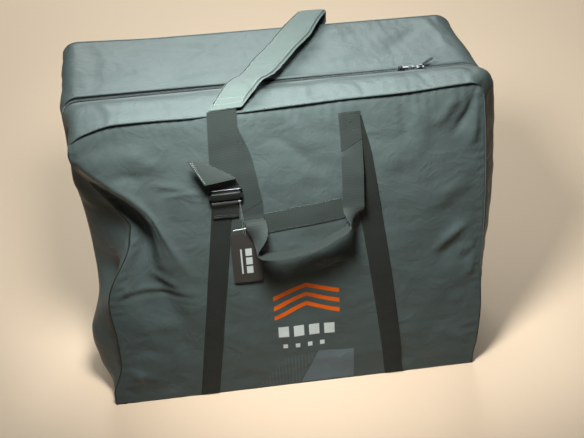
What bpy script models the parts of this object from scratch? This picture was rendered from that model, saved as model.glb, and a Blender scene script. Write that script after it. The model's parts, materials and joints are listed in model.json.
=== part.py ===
"""Soft travel bag for a folding bicycle: fabric shell, zip-open front, handles and shoulder strap.

The bag is laid out as a neat box first: X across, Y from front (-Y) to back, Z up from the floor.
slump() then carries every point to where the standing, half-empty bag really lets it hang.
"""

import math

import bmesh
import bpy
import numpy as np

# Bag body
BAG_W = 0.780
BAG_D = 0.320
BAG_H = 0.700
CORNER_R = 0.035
FABRIC = 0.003
SEAM_GAP = 0.0004
BINDING_W = 0.012
BINDING_T = 0.0016
BINDING_GAP = 0.0009

# Zip
ZIP_Y = -0.042
ZIP_SLOT = 0.0104
ZIP_FOOT_ROW = 3
TAPE_W = 0.011
TAPE_T = 0.0009
CHAIN_T = 0.0016
CHAIN_PARTING = 0.0013
RIB_PITCH = 0.0080
RIB_RISE = 0.0006
PATCH_T = 0.0016
PATCH_FREE = 0.0030
SLIDER_INSET = (0.138, 0.100)
SLIDER_LENGTH = 0.0145
SLIDER_W = 0.0118
SLIDER_PLATE = 0.0014
SLIDER_RIDE = 0.0006
DIVIDER_T = 0.0006
BRIDGE_RISE = 0.0046
BRIDGE_T = 0.0014
BRIDGE_W = 0.0026
BRIDGE_L = 0.0072
BRIDGE_BACK = 0.0008
PULL_LENGTH = 0.027
PULL_W = 0.0070
PULL_T = 0.0012
PULL_BAR = 0.0020
RIGHT_PULL_LIFT = 35.0

# Sewn straps and carry handles, in the order left, right as seen from the front
STRAP_W = 0.040
WEB_T = 0.0016
LAYER = 0.0020
STRAP_FOOT_X = (-0.188, 0.218)
STRAP_HEAD_X = (-0.084, 0.147)
STRAP_HEAD_Z = 0.672
STRAP_FOOT_Z = 0.004
CROSS_W = 0.047
CROSS_Z = 0.447
CROSS_RISE = 0.097
HANDLE_TOP_X = (-0.096, 0.130)
HANDLE_MID = ((-0.0746, 0.600), (0.1315, 0.640))
HANDLE_HINGE = ((-0.0615, 0.4920), (0.1330, 0.600))
HANDLE_LOW_X = (-0.050, 0.140)
HANDLE_LOW_Z = (0.400, 0.452)
HANDLE_TILT = 16.0
HANDLE_CORNER = 0.030
HANDLE_STANDOFF = 0.016

# Shoulder strap
SHOULDER_W = 0.054
SHOULDER_X = -0.1100
SHOULDER_LEAN = 0.008
PAD_W = 0.056
PAD_T = 0.009
PAD_FRONT = (-0.104, -0.168, 0.7140)
PAD_REAR = (0.1125, 0.176, 0.7200)
PAD_CAMBER = 0.010
ANCHOR_HEAD_Z = 0.560
ANCHOR_FOOT_Z = 0.500

# Ladder-lock buckle, heights above its lower rail
BUCKLE_Z = 0.515
RAIL_R = 0.0018
RAIL_CLEAR = 0.0004
FRAME_INNER = 0.0575
FRAME_H = 0.0280
BAR_TRAVEL = 0.003
BAR_LOW = 0.0110
BAR_HIGH = 0.0205
BAR_DEPTH = 0.0046
TAB_W = 0.050
TAB_SHIFT = -0.003
TAB_LENGTH = 0.040
TAIL_FOLD_LEFT = (-0.040, 0.0170, 0.101)
TAIL_FOLD_RIGHT = (0.020, 0.0230, 0.062)
TAIL_FOLD_ANGLE = 135.0
TAIL_BEND_R = 0.0020
TAIL_LENGTH = 0.024

# Hang tag
TAG_W = 0.058
TAG_H = 0.122
TAG_T = 0.0006
TAG_CORNER = 0.006
TAG_EYE_R = 0.0022
TAG_EYE_DROP = 0.006
TAG_X = -0.0815
TAG_TOP_Z = 0.436
CORD_D = 0.0010

# How the standing bag sinks, leans and folds away from the neat box
ZIP_SAG = 0.0125
ZIP_TILT = 0.0065
CROWN = 0.006
LEFT_DROP = 0.016
RIGHT_LIFT = 0.006
ROLL_RISE = 0.010
REAR_SAG = 0.006
REAR_TWIST = 0.010
BELLY = 0.020
RIGHT_PUFF = 0.024
LEAN_OUT = 0.012
CAVE_IN = 0.085
LOW_TUCK = 0.026
GUSSET_WAVES = ((0.21, 0.14, 0.042), (0.46, 0.08, -0.034), (0.74, 0.10, 0.022), (0.92, 0.05, -0.024))
TOE_OUT = (0.001, 0.009)
HOLLOW = 0.038
FLAP_PROUD = 0.016
PILLOW = 0.012

HALF_W = BAG_W / 2
HALF_D = BAG_D / 2
SLIDER_X = (HALF_W - SLIDER_INSET[0], HALF_W - SLIDER_INSET[1])
SIDE_ROWS = 19
SEAM_ROW_Z = 0.007
HEM_ROWS = 2
ARC_STEPS = 4
TOP_COLUMNS = 15


def material(name, colour, roughness, metallic=0.0):
    """A plain finish for one kind of material."""
    mat = bpy.data.materials.new(name)
    mat.use_nodes = True
    shader = mat.node_tree.nodes["Principled BSDF"]
    shader.inputs["Base Color"].default_value = (*colour, 1.0)
    shader.inputs["Roughness"].default_value = roughness
    shader.inputs["Metallic"].default_value = metallic
    return mat


def ease(low, high, value):
    """0 below low, 1 above high, and a smooth step between them."""
    t = np.clip((value - low) / (high - low), 0.0, 1.0)
    return t * t * (3.0 - 2.0 * t)


def slump(points):
    """Carry points of the neat box to where the soft bag hangs."""
    points = np.asarray(points, float)
    x, y, z = points[..., 0], points[..., 1], points[..., 2]
    u, v, w = x / HALF_W, y / HALF_D, z / BAG_H
    zip_v = ZIP_Y / HALF_D
    to_front = np.clip((v + 1.0) / (zip_v + 1.0), 0.0, 1.0)
    front = 1.0 - ease(0.0, 1.0, to_front)
    rear = ease(zip_v, 1.0, v)
    climb = np.clip(w, 0.0, 1.0)
    off_floor = ease(0.012, 0.10, w)

    front_edge = CROWN - LEFT_DROP * ease(0.75, 1.0, -u) + RIGHT_LIFT * ease(0.6, 1.0, u)
    front_edge = front_edge - CROWN * np.exp(-(((u + 0.3) / 0.3) ** 2))
    zip_line = -ZIP_SAG - ZIP_TILT * u
    rear_edge = -REAR_SAG - REAR_TWIST * u + REAR_SAG * ease(0.5, 1.0, -u)
    rise = front_edge * front + zip_line * (1.0 - front) * (1.0 - rear) + rear_edge * rear
    rise = rise + ROLL_RISE * np.sin(math.pi * to_front) ** 2 * (v < zip_v)
    dz = rise * ease(0.45, 1.0, w)

    right = ease(0.2, 1.0, u)
    dx = right * BELLY * np.sin(math.pi * climb ** 1.1) ** 0.7 * (0.35 + 0.65 * front)
    depth = ease(-1.05, -0.6, v) * (1.0 - 0.75 * ease(-0.5, 1.0, v))
    dx = dx + RIGHT_PUFF * ease(0.75, 1.0, u) * ease(0.30, 0.62, w) * depth
    dx = dx - LEAN_OUT * ease(0.5, 1.0, -u) * ease(0.5, 0.95, w) * (1.0 - front)
    left = ease(0.55, 1.0, -u)
    dx = dx + front * left * CAVE_IN * np.exp(-(((w - 0.63) / 0.17) ** 2)) * ease(0.02, 0.3, w)
    dx = dx + front * left * LOW_TUCK * ease(0.02, 0.18, w) * (1.0 - ease(0.25, 0.5, w))
    for height, spread, out in GUSSET_WAVES:
        wave = np.exp(-(((w - height) / spread) ** 2)) * np.sin(math.pi * to_front) ** 2
        dx = dx - left * out * wave * ease(0.012, 0.06, w)

    below_fold = -np.maximum(u, -0.985) - 0.04 - w
    hollow = ease(0.50, 0.75, -u) * ease(0.0, 0.08, below_fold) * (1.0 - ease(0.12, 0.46, below_fold))
    flap = ease(0.43, 0.72, -u) * np.exp(-((np.maximum(-below_fold, 0.0) / 0.16) ** 2))
    flap = flap * (1.0 - ease(0.0, 0.07, below_fold))
    dy = front * (HOLLOW * hollow - FLAP_PROUD * flap)
    dy = dy - front * PILLOW * np.clip(1.0 - u * u, 0.0, 1.0) * np.sin(math.pi * climb)
    toe = TOE_OUT[0] + (TOE_OUT[1] - TOE_OUT[0]) * (u + 1.0) / 2
    toe = front * toe * (1.0 - ease(0.0, 0.5, w))
    return np.stack([x + dx * off_floor, y + dy * off_floor - toe, z + dz], axis=-1)


def turn_about_z(points):
    """The back of the bag repeats the front, turned half a turn about Z."""
    return np.asarray(points, float) * np.array([-1.0, -1.0, 1.0])


def add_solid(name, points, faces, mat, pivot=None):
    """Make one object from points of the neat box; a moving piece has its origin on its pivot."""
    world = slump(points)
    origin = np.zeros(3) if pivot is None else slump(pivot)
    mesh = bpy.data.meshes.new(name)
    mesh.from_pydata([tuple(p) for p in world - origin], [], faces)
    bm = bmesh.new()
    bm.from_mesh(mesh)
    bmesh.ops.remove_doubles(bm, verts=bm.verts, dist=1e-6)
    bmesh.ops.recalc_face_normals(bm, faces=bm.faces)
    bm.to_mesh(mesh)
    bm.free()
    mesh.materials.append(mat)
    obj = bpy.data.objects.new(name, mesh)
    obj.location = tuple(origin)
    bpy.context.scene.collection.objects.link(obj)
    return obj


def grid_faces(rows, columns, start=0, wrap=False):
    """Quads of a grid of points stored row by row."""
    faces = []
    last = columns if wrap else columns - 1
    for i in range(rows - 1):
        for j in range(last):
            k = (j + 1) % columns
            a = start + i * columns
            faces.append((a + j, a + k, a + columns + k, a + columns + j))
    return faces


def slab(name, outer, inner, mat, pivot=None):
    """A closed shell between two grids of points of the same shape."""
    rows, columns = outer.shape[:2]
    count = rows * columns
    points = np.concatenate([outer.reshape(-1, 3), inner.reshape(-1, 3)])
    faces = grid_faces(rows, columns)
    faces += [(a, d, c, b) for a, b, c, d in grid_faces(rows, columns, count)]
    rim = [j for j in range(columns)]
    rim += [i * columns + columns - 1 for i in range(1, rows)]
    rim += [(rows - 1) * columns + j for j in range(columns - 2, -1, -1)]
    rim += [i * columns for i in range(rows - 2, 0, -1)]
    for a, b in zip(rim, rim[1:] + rim[:1]):
        faces.append((b, a, a + count, b + count))
    return add_solid(name, points, faces, mat, pivot)


def sweep(name, rings, mat, pivot=None, closed=False):
    """A bar through a row of rings of points; closed joins its last ring to its first."""
    rings = np.asarray(rings, float)
    count, sides = rings.shape[:2]
    points = rings.reshape(-1, 3)
    faces = grid_faces(count, sides, wrap=True)
    if closed:
        last = (count - 1) * sides
        faces += [(last + j, last + (j + 1) % sides, (j + 1) % sides, j) for j in range(sides)]
    else:
        faces.append(tuple(range(sides - 1, -1, -1)))
        faces.append(tuple((count - 1) * sides + j for j in range(sides)))
    return add_solid(name, points, faces, mat, pivot)


def unit(vectors):
    """Vectors scaled to length one."""
    vectors = np.asarray(vectors, float)
    return vectors / np.linalg.norm(vectors, axis=-1, keepdims=True)


def web_rings(path, across, width, thickness, square=False):
    """Rectangles along a flat web: path is its middle line, across spans it, of length one if square.

    With square set, across is first made square to the path.
    """
    path = np.asarray(path, float)
    across = np.array(np.broadcast_to(np.asarray(across, float), path.shape))
    along = unit(np.gradient(path, axis=0))
    if square:
        across = unit(across - along * np.sum(across * along, axis=1, keepdims=True))
    face = unit(np.cross(along, across))
    a, t = across * width / 2, face * thickness / 2
    return np.stack([path - a - t, path + a - t, path + a + t, path - a + t], axis=1)


def smooth_path(points, count):
    """A curve through the given points, read off at even steps along its length."""
    points = np.asarray(points, float)
    ends = np.vstack([2 * points[0] - points[1], points, 2 * points[-1] - points[-2]])
    curve = []
    for k in range(1, len(ends) - 2):
        p0, p1, p2, p3 = ends[k - 1:k + 3]
        for t in np.linspace(0.0, 1.0, 12, endpoint=False):
            curve.append(0.5 * (2 * p1 + (p2 - p0) * t + (2 * p0 - 5 * p1 + 4 * p2 - p3) * t ** 2
                                + (3 * p1 - p0 - 3 * p2 + p3) * t ** 3))
    curve.append(points[-1])
    curve = np.array(curve)
    reach = np.concatenate([[0.0], np.cumsum(np.linalg.norm(np.diff(curve, axis=0), axis=1))])
    even = np.linspace(0.0, reach[-1], count)
    return np.stack([np.interp(even, reach, curve[:, k]) for k in range(3)], axis=1)


def outline_prism(name, outline, holes, plane, low, high, mat, pivot=None):
    """A flat plate: an outline with round holes, filled, and given its thickness.

    plane maps an outline point and a height to the neat box.
    """
    bm = bmesh.new()
    edges = []
    for loop in [outline] + holes:
        verts = [bm.verts.new((p[0], p[1], 0.0)) for p in loop]
        edges += [bm.edges.new((a, b)) for a, b in zip(verts, verts[1:] + verts[:1])]
    bmesh.ops.triangle_fill(bm, use_beauty=True, use_dissolve=False, edges=edges)
    bm.verts.index_update()
    flat = [(v.co.x, v.co.y) for v in bm.verts]
    triangles = [tuple(v.index for v in f.verts) for f in bm.faces]
    bm.free()
    count = len(flat)
    points = [plane(p[0], p[1], low) for p in flat] + [plane(p[0], p[1], high) for p in flat]
    faces = triangles + [tuple(count + k for k in reversed(t)) for t in triangles]
    start = 0
    for loop in [outline] + holes:
        size = len(loop)
        for k in range(size):
            a, b = start + k, start + (k + 1) % size
            faces.append((a, b, b + count, a + count))
        start += size
    return add_solid(name, np.array(points), faces, mat, pivot)


def circle(centre, radius, steps):
    """Points round a circle in a plate's own plane."""
    turn = np.arange(steps) * 2 * math.pi / steps
    return [(centre[0] + radius * math.cos(a), centre[1] + radius * math.sin(a)) for a in turn]


def arc_angles():
    """Steps through a rounded top corner, without its start; the first is one fabric's thickness in."""
    first = math.acos(1.0 - FABRIC / CORNER_R)
    return np.linspace(first, math.pi / 2, ARC_STEPS)


def side_rows():
    """Heights shared by every piece that runs up the bag's sides, from the floor to the corners."""
    return np.concatenate([[0.0], np.linspace(SEAM_ROW_Z, BAG_H - CORNER_R - 2 * SEAM_GAP, SIDE_ROWS)])


def hoop(offset, foot, parts=("left", "top", "right")):
    """The bag's outline in XZ, set in by offset: up the left side, over the top, down the right.

    The top part includes both rounded corners; each side stops one seam gap below them.
    """
    shoulder = BAG_H - CORNER_R
    rows = side_rows()
    side_z = np.concatenate([[foot], rows[rows > foot + 1e-6]])
    points = []
    if "left" in parts:
        points += [(offset - HALF_W, z) for z in side_z]
    if "top" in parts:
        radius = CORNER_R - offset
        points.append((offset - HALF_W, shoulder))
        for a in arc_angles():
            points.append((CORNER_R - HALF_W - radius * math.cos(a), shoulder + radius * math.sin(a)))
        points += [(x, BAG_H - offset) for x in top_columns()[1:-1]]
        for a in arc_angles()[::-1]:
            points.append((HALF_W - CORNER_R + radius * math.cos(a), shoulder + radius * math.sin(a)))
        points.append((HALF_W - offset, shoulder))
    if "right" in parts:
        points += [(HALF_W - offset, z) for z in side_z[::-1]]
    return np.array(points)


def top_columns():
    """Places across the top, between the rounded corners."""
    return np.linspace(CORNER_R - HALF_W, HALF_W - CORNER_R, TOP_COLUMNS + 1)


def band(name, part, y_stations, zip_edge, mat):
    """A strip of fabric that follows the bag's outline; its zip edge closes up below the zip's foot."""
    shells = []
    for offset in (0.0, FABRIC):
        line = hoop(offset, 0.0, (part,))
        grid = np.zeros((len(line), len(y_stations), 3))
        grid[:, :, 0] = line[:, None, 0]
        grid[:, :, 1] = np.asarray(y_stations)[None, :]
        grid[:, :, 2] = line[:, None, 1]
        low = line[:, 1] < side_rows()[ZIP_FOOT_ROW] - 1e-6
        grid[low, zip_edge, 1] = ZIP_Y + (SEAM_GAP if zip_edge == 0 else -SEAM_GAP)
        shells.append(grid)
    return slab(name, shells[0], shells[1], mat)


def big_panel(name, y_outer, y_inner, mat):
    """The front or back panel, with rounded top corners."""
    shoulder = BAG_H - CORNER_R
    corner = [(-HALF_W, shoulder)]
    corner += [(CORNER_R - HALF_W - CORNER_R * math.cos(a), shoulder + CORNER_R * math.sin(a))
               for a in arc_angles()]
    heads = corner + [(x, BAG_H) for x in top_columns()[1:-1]]
    heads += [(-x, z) for x, z in reversed(corner)]
    hem = np.linspace(0.0, 1.0, HEM_ROWS + 1)
    grids = []
    for y in (y_outer, y_inner):
        columns = []
        for x, top in heads:
            zs = np.concatenate([side_rows(), shoulder + (top - shoulder) * hem])
            columns.append(np.stack([np.full_like(zs, x), np.full_like(zs, y), zs], axis=1))
        grids.append(np.array(columns))
    return slab(name, grids[0], grids[1], mat)


def strap_x(side, z):
    """Middle of the left (0) or right (1) sewn strap at a height."""
    return STRAP_FOOT_X[side] + (STRAP_HEAD_X[side] - STRAP_FOOT_X[side]) * z / STRAP_HEAD_Z


def front_y(depth):
    """A place in front of the front panel, depth metres out from its skin."""
    return -HALF_D - depth


def sewn_strap(name, side, mat, back=False):
    """One 40 mm strap, sewn up the panel from the bottom seam to the handle."""
    heights = np.concatenate([[STRAP_FOOT_Z], side_rows()[1:], [STRAP_HEAD_Z]])
    depth = SEAM_GAP + WEB_T / 2
    path = np.stack([strap_x(side, heights), np.full_like(heights, front_y(depth)), heights], axis=1)
    rings = web_rings(path, (1.0, 0.0, 0.0), STRAP_W, WEB_T)
    return sweep(name, turn_about_z(rings) if back else rings, mat)


def strap_edge(side, z, sign):
    """Edge of a sewn strap at a height: sign -1 is its left edge, +1 its right."""
    lean = (STRAP_HEAD_X[side] - STRAP_FOOT_X[side]) / STRAP_HEAD_Z
    return strap_x(side, z) + sign * (STRAP_W / 2) * math.hypot(1.0, lean)


def cross_strap(name, mat, back=False):
    """The flat strap across the panel, between the two sewn straps."""
    outer, inner = [], []
    middle = strap_edge(0, CROSS_Z, 1.0)
    for share in (-0.5, 0.0, 0.5):
        z_left = CROSS_Z + share * CROSS_W
        z_right = z_left
        for _ in range(6):
            z_right = z_left + CROSS_RISE * (strap_edge(1, z_right, -1.0) - middle)
        left = strap_edge(0, z_left, 1.0) + 2 * SEAM_GAP
        right = strap_edge(1, z_right, -1.0) - 2 * SEAM_GAP
        x = np.linspace(left, right, 9)
        z_line = np.linspace(z_left, z_right, 9)
        outer.append(np.stack([x, np.full_like(x, front_y(SEAM_GAP + WEB_T)), z_line], axis=1))
        inner.append(np.stack([x, np.full_like(x, front_y(SEAM_GAP)), z_line], axis=1))
    outer, inner = np.array(outer), np.array(inner)
    if back:
        outer, inner = turn_about_z(outer), turn_about_z(inner)
    return slab(name, outer, inner, mat)


def handle_slope():
    """Rise of the fold line that both legs of a handle share, per metre of X."""
    (x0, z0), (x1, z1) = HANDLE_HINGE
    return (z1 - z0) / (x1 - x0)


def handle_tab(name, side, mat, back=False):
    """The flat upper length of a handle's leg, from its head to the slanting fold line."""
    (xm, zm), (xh, zh) = HANDLE_MID[side], HANDLE_HINGE[side]
    points = smooth_path([(HANDLE_TOP_X[side], 0.0, STRAP_HEAD_Z), (xm, 0.0, zm),
                          (xh, 0.0, zh + 1.5 * SEAM_GAP)], 7)
    points[:, 1] = front_y(SEAM_GAP + LAYER + WEB_T / 2)
    across = np.tile((1.0, 0.0, 0.0), (len(points), 1))
    across[-1, 2] = handle_slope()
    across[-2, 2] = 0.5 * handle_slope()
    rings = web_rings(points, across, STRAP_W, WEB_T)
    return sweep(name, turn_about_z(rings) if back else rings, mat)


def handle_axis():
    """Two ends of the line on which a handle swings, just proud of its flat lengths."""
    depth = SEAM_GAP + LAYER + WEB_T + SEAM_GAP
    return [(x, front_y(depth), z) for x, z in HANDLE_HINGE]


def handle_loop(name, mat, back=False):
    """The hanging loop: two legs that twist a quarter turn into a span that stands off the bag."""
    first = SEAM_GAP + LAYER + WEB_T / 2
    out = first + HANDLE_STANDOFF + STRAP_W / 2
    legs = []
    for side, sign in ((0, 1.0), (1, -1.0)):
        x, z = HANDLE_HINGE[side]
        top = np.array([x, front_y(first), z - SEAM_GAP])
        low = np.array([HANDLE_LOW_X[side], front_y(out), HANDLE_LOW_Z[side]])
        knee = low + np.array([sign * 0.2 * HANDLE_CORNER, 0.4 * HANDLE_CORNER, HANDLE_CORNER])
        legs.append([top, top + 0.25 * (knee - top) * (1.0, 0.2, 1.0), 0.5 * (top + knee), knee, low])
    left_low, right_low = legs[0][-1], legs[1][-1]
    corner = np.array([HANDLE_CORNER, 0.0, -0.1 * HANDLE_CORNER])
    route = legs[0] + [left_low + corner, 0.5 * (left_low + right_low) - (0.0, 0.0, 0.012),
                       right_low + corner * (-1.0, 0.0, 1.0)] + legs[1][::-1]
    path = smooth_path(route, 52)
    drop = path[:, 2]
    left_twist = ease(HANDLE_LOW_Z[0], HANDLE_LOW_Z[0] + 0.055, drop)
    right_twist = ease(HANDLE_LOW_Z[1], HANDLE_LOW_Z[1] + 0.040, drop)
    middle = path[:, 0] < 0.5 * (HANDLE_LOW_X[0] + HANDLE_LOW_X[1])
    twist = (1.0 - np.where(middle, left_twist, right_twist)) * math.pi / 2
    rise = math.tan(math.radians(HANDLE_TILT)) * np.sin(twist)
    across = np.stack([np.cos(twist), -np.sin(twist), rise], axis=1)
    across[~middle] *= np.array([-1.0, 1.0, 1.0])
    across = unit(across)
    across[0] = (1.0, 0.0, handle_slope())
    across[1] = (1.0, 0.0, 0.5 * handle_slope())
    across[-2] = (-1.0, 0.0, -0.5 * handle_slope())
    across[-1] = (-1.0, 0.0, -handle_slope())
    rings = web_rings(path, across, STRAP_W, WEB_T)
    pivot = np.mean(handle_axis(), axis=0)
    if back:
        rings, pivot = turn_about_z(rings), turn_about_z(pivot)
    return sweep(name, rings, mat, pivot)


def zip_stations():
    """Depths of the zip's edges: fabric edge, tape and chain, in front of and behind its middle."""
    slot, part = ZIP_SLOT / 2, CHAIN_PARTING / 2
    return {"fabric": slot, "tape": (part, slot, slot + TAPE_W), "chain": (part, slot - SEAM_GAP)}


def zip_tape(name, sign, mat):
    """The woven tape under one edge of the zip slot, up one side, over the top and down the other."""
    ys = np.sort(ZIP_Y + sign * np.array(zip_stations()["tape"]))
    low = FABRIC + SEAM_GAP
    shells = []
    for offset in (low, low + TAPE_T):
        line = hoop(offset, side_rows()[ZIP_FOOT_ROW])
        grid = np.zeros((len(line), len(ys), 3))
        grid[:, :, 0] = line[:, None, 0]
        grid[:, :, 1] = ys
        grid[:, :, 2] = line[:, None, 1]
        shells.append(grid)
    return slab(name, shells[0], shells[1], mat)


def zip_chain(name, sign, mat):
    """Half of the zip's chain: a ridged strip with its ribs across the top, plain down the sides."""
    near, far = zip_stations()["chain"]
    deep = FABRIC - 0.0001
    foot = side_rows()[ZIP_FOOT_ROW]
    base = hoop(deep, foot)
    crest = hoop(deep - CHAIN_T, foot)
    start = len(side_rows()) - ZIP_FOOT_ROW + 1 + ARC_STEPS
    stop = start + TOP_COLUMNS - 2
    x_start, x_stop = base[start, 0], base[stop, 0]
    count = int((x_stop - x_start) / RIB_PITCH)
    flanks = np.linspace(x_start, x_stop, 2 * count + 1)[1:-1]
    rib_base = np.stack([flanks, np.full_like(flanks, base[start, 1])], axis=1)
    rib_crest = np.stack([flanks, np.full_like(flanks, crest[start, 1])], axis=1)
    rib_crest[0::2, 1] += RIB_RISE
    base = np.vstack([base[:start + 1], rib_base, base[stop:]])
    crest = np.vstack([crest[:start + 1], rib_crest, crest[stop:]])
    rings = []
    for (xb, zb), (xc, zc) in zip(base, crest):
        y0, y1 = ZIP_Y + sign * near, ZIP_Y + sign * far
        rings.append([(xb, y0, zb), (xb, y1, zb), (xc, y1, zc), (xc, y0, zc)])
    return sweep(name, rings, mat)


def zip_stop(name, sign, mat):
    """The sewn patch inside the bag that ends the zip near the floor."""
    rows = side_rows()
    z0, z1 = rows[ZIP_FOOT_ROW - 1], rows[ZIP_FOOT_ROW] - 2 * SEAM_GAP
    _, slot, far = zip_stations()["tape"]
    ys = ZIP_Y + np.array([-far, -slot, slot, far])
    free = np.array([PATCH_FREE, 0.8 * PATCH_FREE, 0.0, 0.0])
    xs = sign * (HALF_W - FABRIC - SEAM_GAP - free)
    outer = np.array([[(x, y, z) for x, y in zip(xs, ys)] for z in (z0, z1)])
    inner = outer - np.array([sign * PATCH_T, 0.0, 0.0])
    return slab(name, outer, inner, mat)


def zip_skin(depth):
    """Height of a place depth metres below the top skin, on the zip's line."""
    return BAG_H - depth


def slider_heights():
    """Levels of the slider: under plate, top plate and the crown of its bridge."""
    tape_under = FABRIC + SEAM_GAP + TAPE_T
    top_low = zip_skin(-SLIDER_RIDE)
    under_high = zip_skin(tape_under + SEAM_GAP)
    return {"under": (under_high - SLIDER_PLATE, under_high),
            "top": (top_low, top_low + SLIDER_PLATE),
            "pin": top_low + SLIDER_PLATE + 0.5 * (BRIDGE_RISE - BRIDGE_T)}


def slider_body(name, x, nose, mat):
    """Zip slider: two plates joined by the divider at its nose, and a bridge for the pull.

    It is one outline in XZ, stepped in width: plates are wide, divider and bridge are narrow.
    """
    levels = slider_heights()
    half, wide, slim = SLIDER_LENGTH / 2, SLIDER_W / 2, DIVIDER_T / 2
    bridge, tail, head = BRIDGE_W / 2, -BRIDGE_BACK - BRIDGE_L / 2, BRIDGE_L / 2 - BRIDGE_BACK
    bm = bmesh.new()

    def block(x0, x1, y, z0, z1, taper=0.0):
        """A box across the zip; taper narrows its tail end."""
        corners = []
        for z in (z0, z1):
            for px, py in ((x0, y - taper), (x1, y), (x1, -y), (x0, taper - y)):
                corners.append(bm.verts.new((px, py, z)))
        low, high = corners[:4], corners[4:]
        bm.faces.new(low[::-1])
        bm.faces.new(high)
        for k in range(4):
            bm.faces.new((low[k], low[(k + 1) % 4], high[(k + 1) % 4], high[k]))

    sink = 0.0003
    block(-half, half, wide, *levels["top"], taper=0.0022)
    block(-half, half, wide, *levels["under"], taper=0.0022)
    block(half - 0.0042, half - 0.0008, slim, levels["under"][1] - sink, levels["top"][0] + sink)
    crown = levels["top"][1] + BRIDGE_RISE
    block(tail, tail + BRIDGE_T, bridge, levels["top"][1] - sink, crown - 0.5 * BRIDGE_T)
    block(head - BRIDGE_T, head, bridge, levels["top"][1] - sink, crown - 0.5 * BRIDGE_T)
    block(tail - 0.0001, head + 0.0001, bridge + 0.0001, crown - BRIDGE_T, crown)
    bm.normal_update()
    mesh = bpy.data.meshes.new(name)
    bm.to_mesh(mesh)
    bm.free()
    return join_blocks(name, mesh, x, nose, mat)


def join_blocks(name, mesh, x, nose, mat):
    """Fuse the overlapping blocks of a slider into one body and set it on the zip."""
    parts = split_blocks(mesh)
    target = parts[0]
    for other in parts[1:]:
        union = target.modifiers.new("join", "BOOLEAN")
        union.operation = "UNION"
        union.solver = "EXACT"
        union.object = other
    depsgraph = bpy.context.evaluated_depsgraph_get()
    fused = bpy.data.meshes.new_from_object(target.evaluated_get(depsgraph))
    for part in parts:
        bpy.data.objects.remove(part)
    points = np.array([tuple(v.co) for v in fused.vertices])
    faces = [tuple(p.vertices) for p in fused.polygons]
    points = points * np.array([nose, nose, 1.0]) + np.array([x, ZIP_Y, 0.0])
    return add_solid(name, points, faces, mat, (x, ZIP_Y, BAG_H))


def split_blocks(mesh):
    """One object for each closed block of a mesh, so that they can be fused in turn."""
    blocks = []
    points = np.array([tuple(v.co) for v in mesh.vertices])
    for start in range(0, len(points), 8):
        piece = bpy.data.meshes.new("block")
        faces = [tuple(k - start for k in p.vertices) for p in mesh.polygons
                 if start <= p.vertices[0] < start + 8]
        piece.from_pydata([tuple(p) for p in points[start:start + 8]], [], faces)
        obj = bpy.data.objects.new("block", piece)
        bpy.context.scene.collection.objects.link(obj)
        blocks.append(obj)
    return blocks


def pull_tab(name, x, nose, lift, mat):
    """The pull: a long plate with an eye round the bridge and a slot at its grip end."""
    levels = slider_heights()
    tilt = math.radians(lift)
    pin = (x - nose * BRIDGE_BACK, ZIP_Y, levels["pin"])

    def plane(a, b, height):
        """Lay the plate along the zip, turned up by its lift about the pin."""
        along, up = a * math.cos(tilt) - height * math.sin(tilt), a * math.sin(tilt) + height * math.cos(tilt)
        return (pin[0] + along, pin[1] + b, pin[2] + up)

    half, bar = PULL_W / 2, PULL_BAR / 2
    eye = BRIDGE_W / 2 + SEAM_GAP + 0.0001
    outline = [(-bar, -half * 0.8), (0.006, -half * 0.8), (PULL_LENGTH - 0.003, -half),
               (PULL_LENGTH, -half * 0.55), (PULL_LENGTH, half * 0.55),
               (PULL_LENGTH - 0.003, half), (0.006, half * 0.8), (-bar, half * 0.8)]
    far = math.hypot(BRIDGE_L / 2, BRIDGE_RISE - 0.5 * (BRIDGE_RISE - BRIDGE_T)) + SEAM_GAP
    bridge_hole = [(bar, -eye), (bar, eye), (far, eye), (far, -eye)]
    grip = [(PULL_LENGTH - 0.011, -eye), (PULL_LENGTH - 0.011, eye),
            (PULL_LENGTH - 0.004, eye), (PULL_LENGTH - 0.004, -eye)]
    return outline_prism(name, outline, [bridge_hole, grip], plane, -PULL_T / 2, PULL_T / 2, mat, pin)


def buckle_depth(kind):
    """How far the buckle's layers stand out from the panel's skin."""
    sewn = SEAM_GAP + LAYER
    rail = sewn + 2 * LAYER + WEB_T + RAIL_CLEAR + RAIL_R
    return {"tab": sewn + WEB_T / 2, "rail": rail,
            "front": rail + RAIL_R + RAIL_CLEAR + WEB_T / 2}[kind]


def buckle_point(x, depth, height):
    """A point of the buckle: across, out from the panel, and up from its lower rail."""
    return (SHOULDER_X + x, front_y(depth), BUCKLE_Z + height)


def buckle_tab(name, mat):
    """The short web sewn on the left strap and folded round the buckle's lower rail."""
    rail, tab = buckle_depth("rail"), buckle_depth("tab")
    bend = RAIL_R + RAIL_CLEAR + WEB_T / 2
    back = [(tab, h) for h in np.linspace(-TAB_LENGTH, -0.016, 5)]
    back += [(0.5 * (tab + rail - bend), -0.008), (rail - bend - 0.0002, -0.002)]
    turn = np.linspace(math.radians(-90.0), math.radians(120.0), 12)
    fold = [(rail + bend * math.sin(a), bend * math.cos(a)) for a in turn]
    close = tab + WEB_T + 0.00035
    last = fold[-1]
    front = [(close + 0.0012, last[1] - 0.011), (close, last[1] - 0.017), (close, 0.0012 - TAB_LENGTH)]
    path = np.array([buckle_point(TAB_SHIFT, d, h) for d, h in back + fold + front])
    return sweep(name, web_rings(path, (1.0, 0.0, 0.0), TAB_W, WEB_T), mat)


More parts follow.
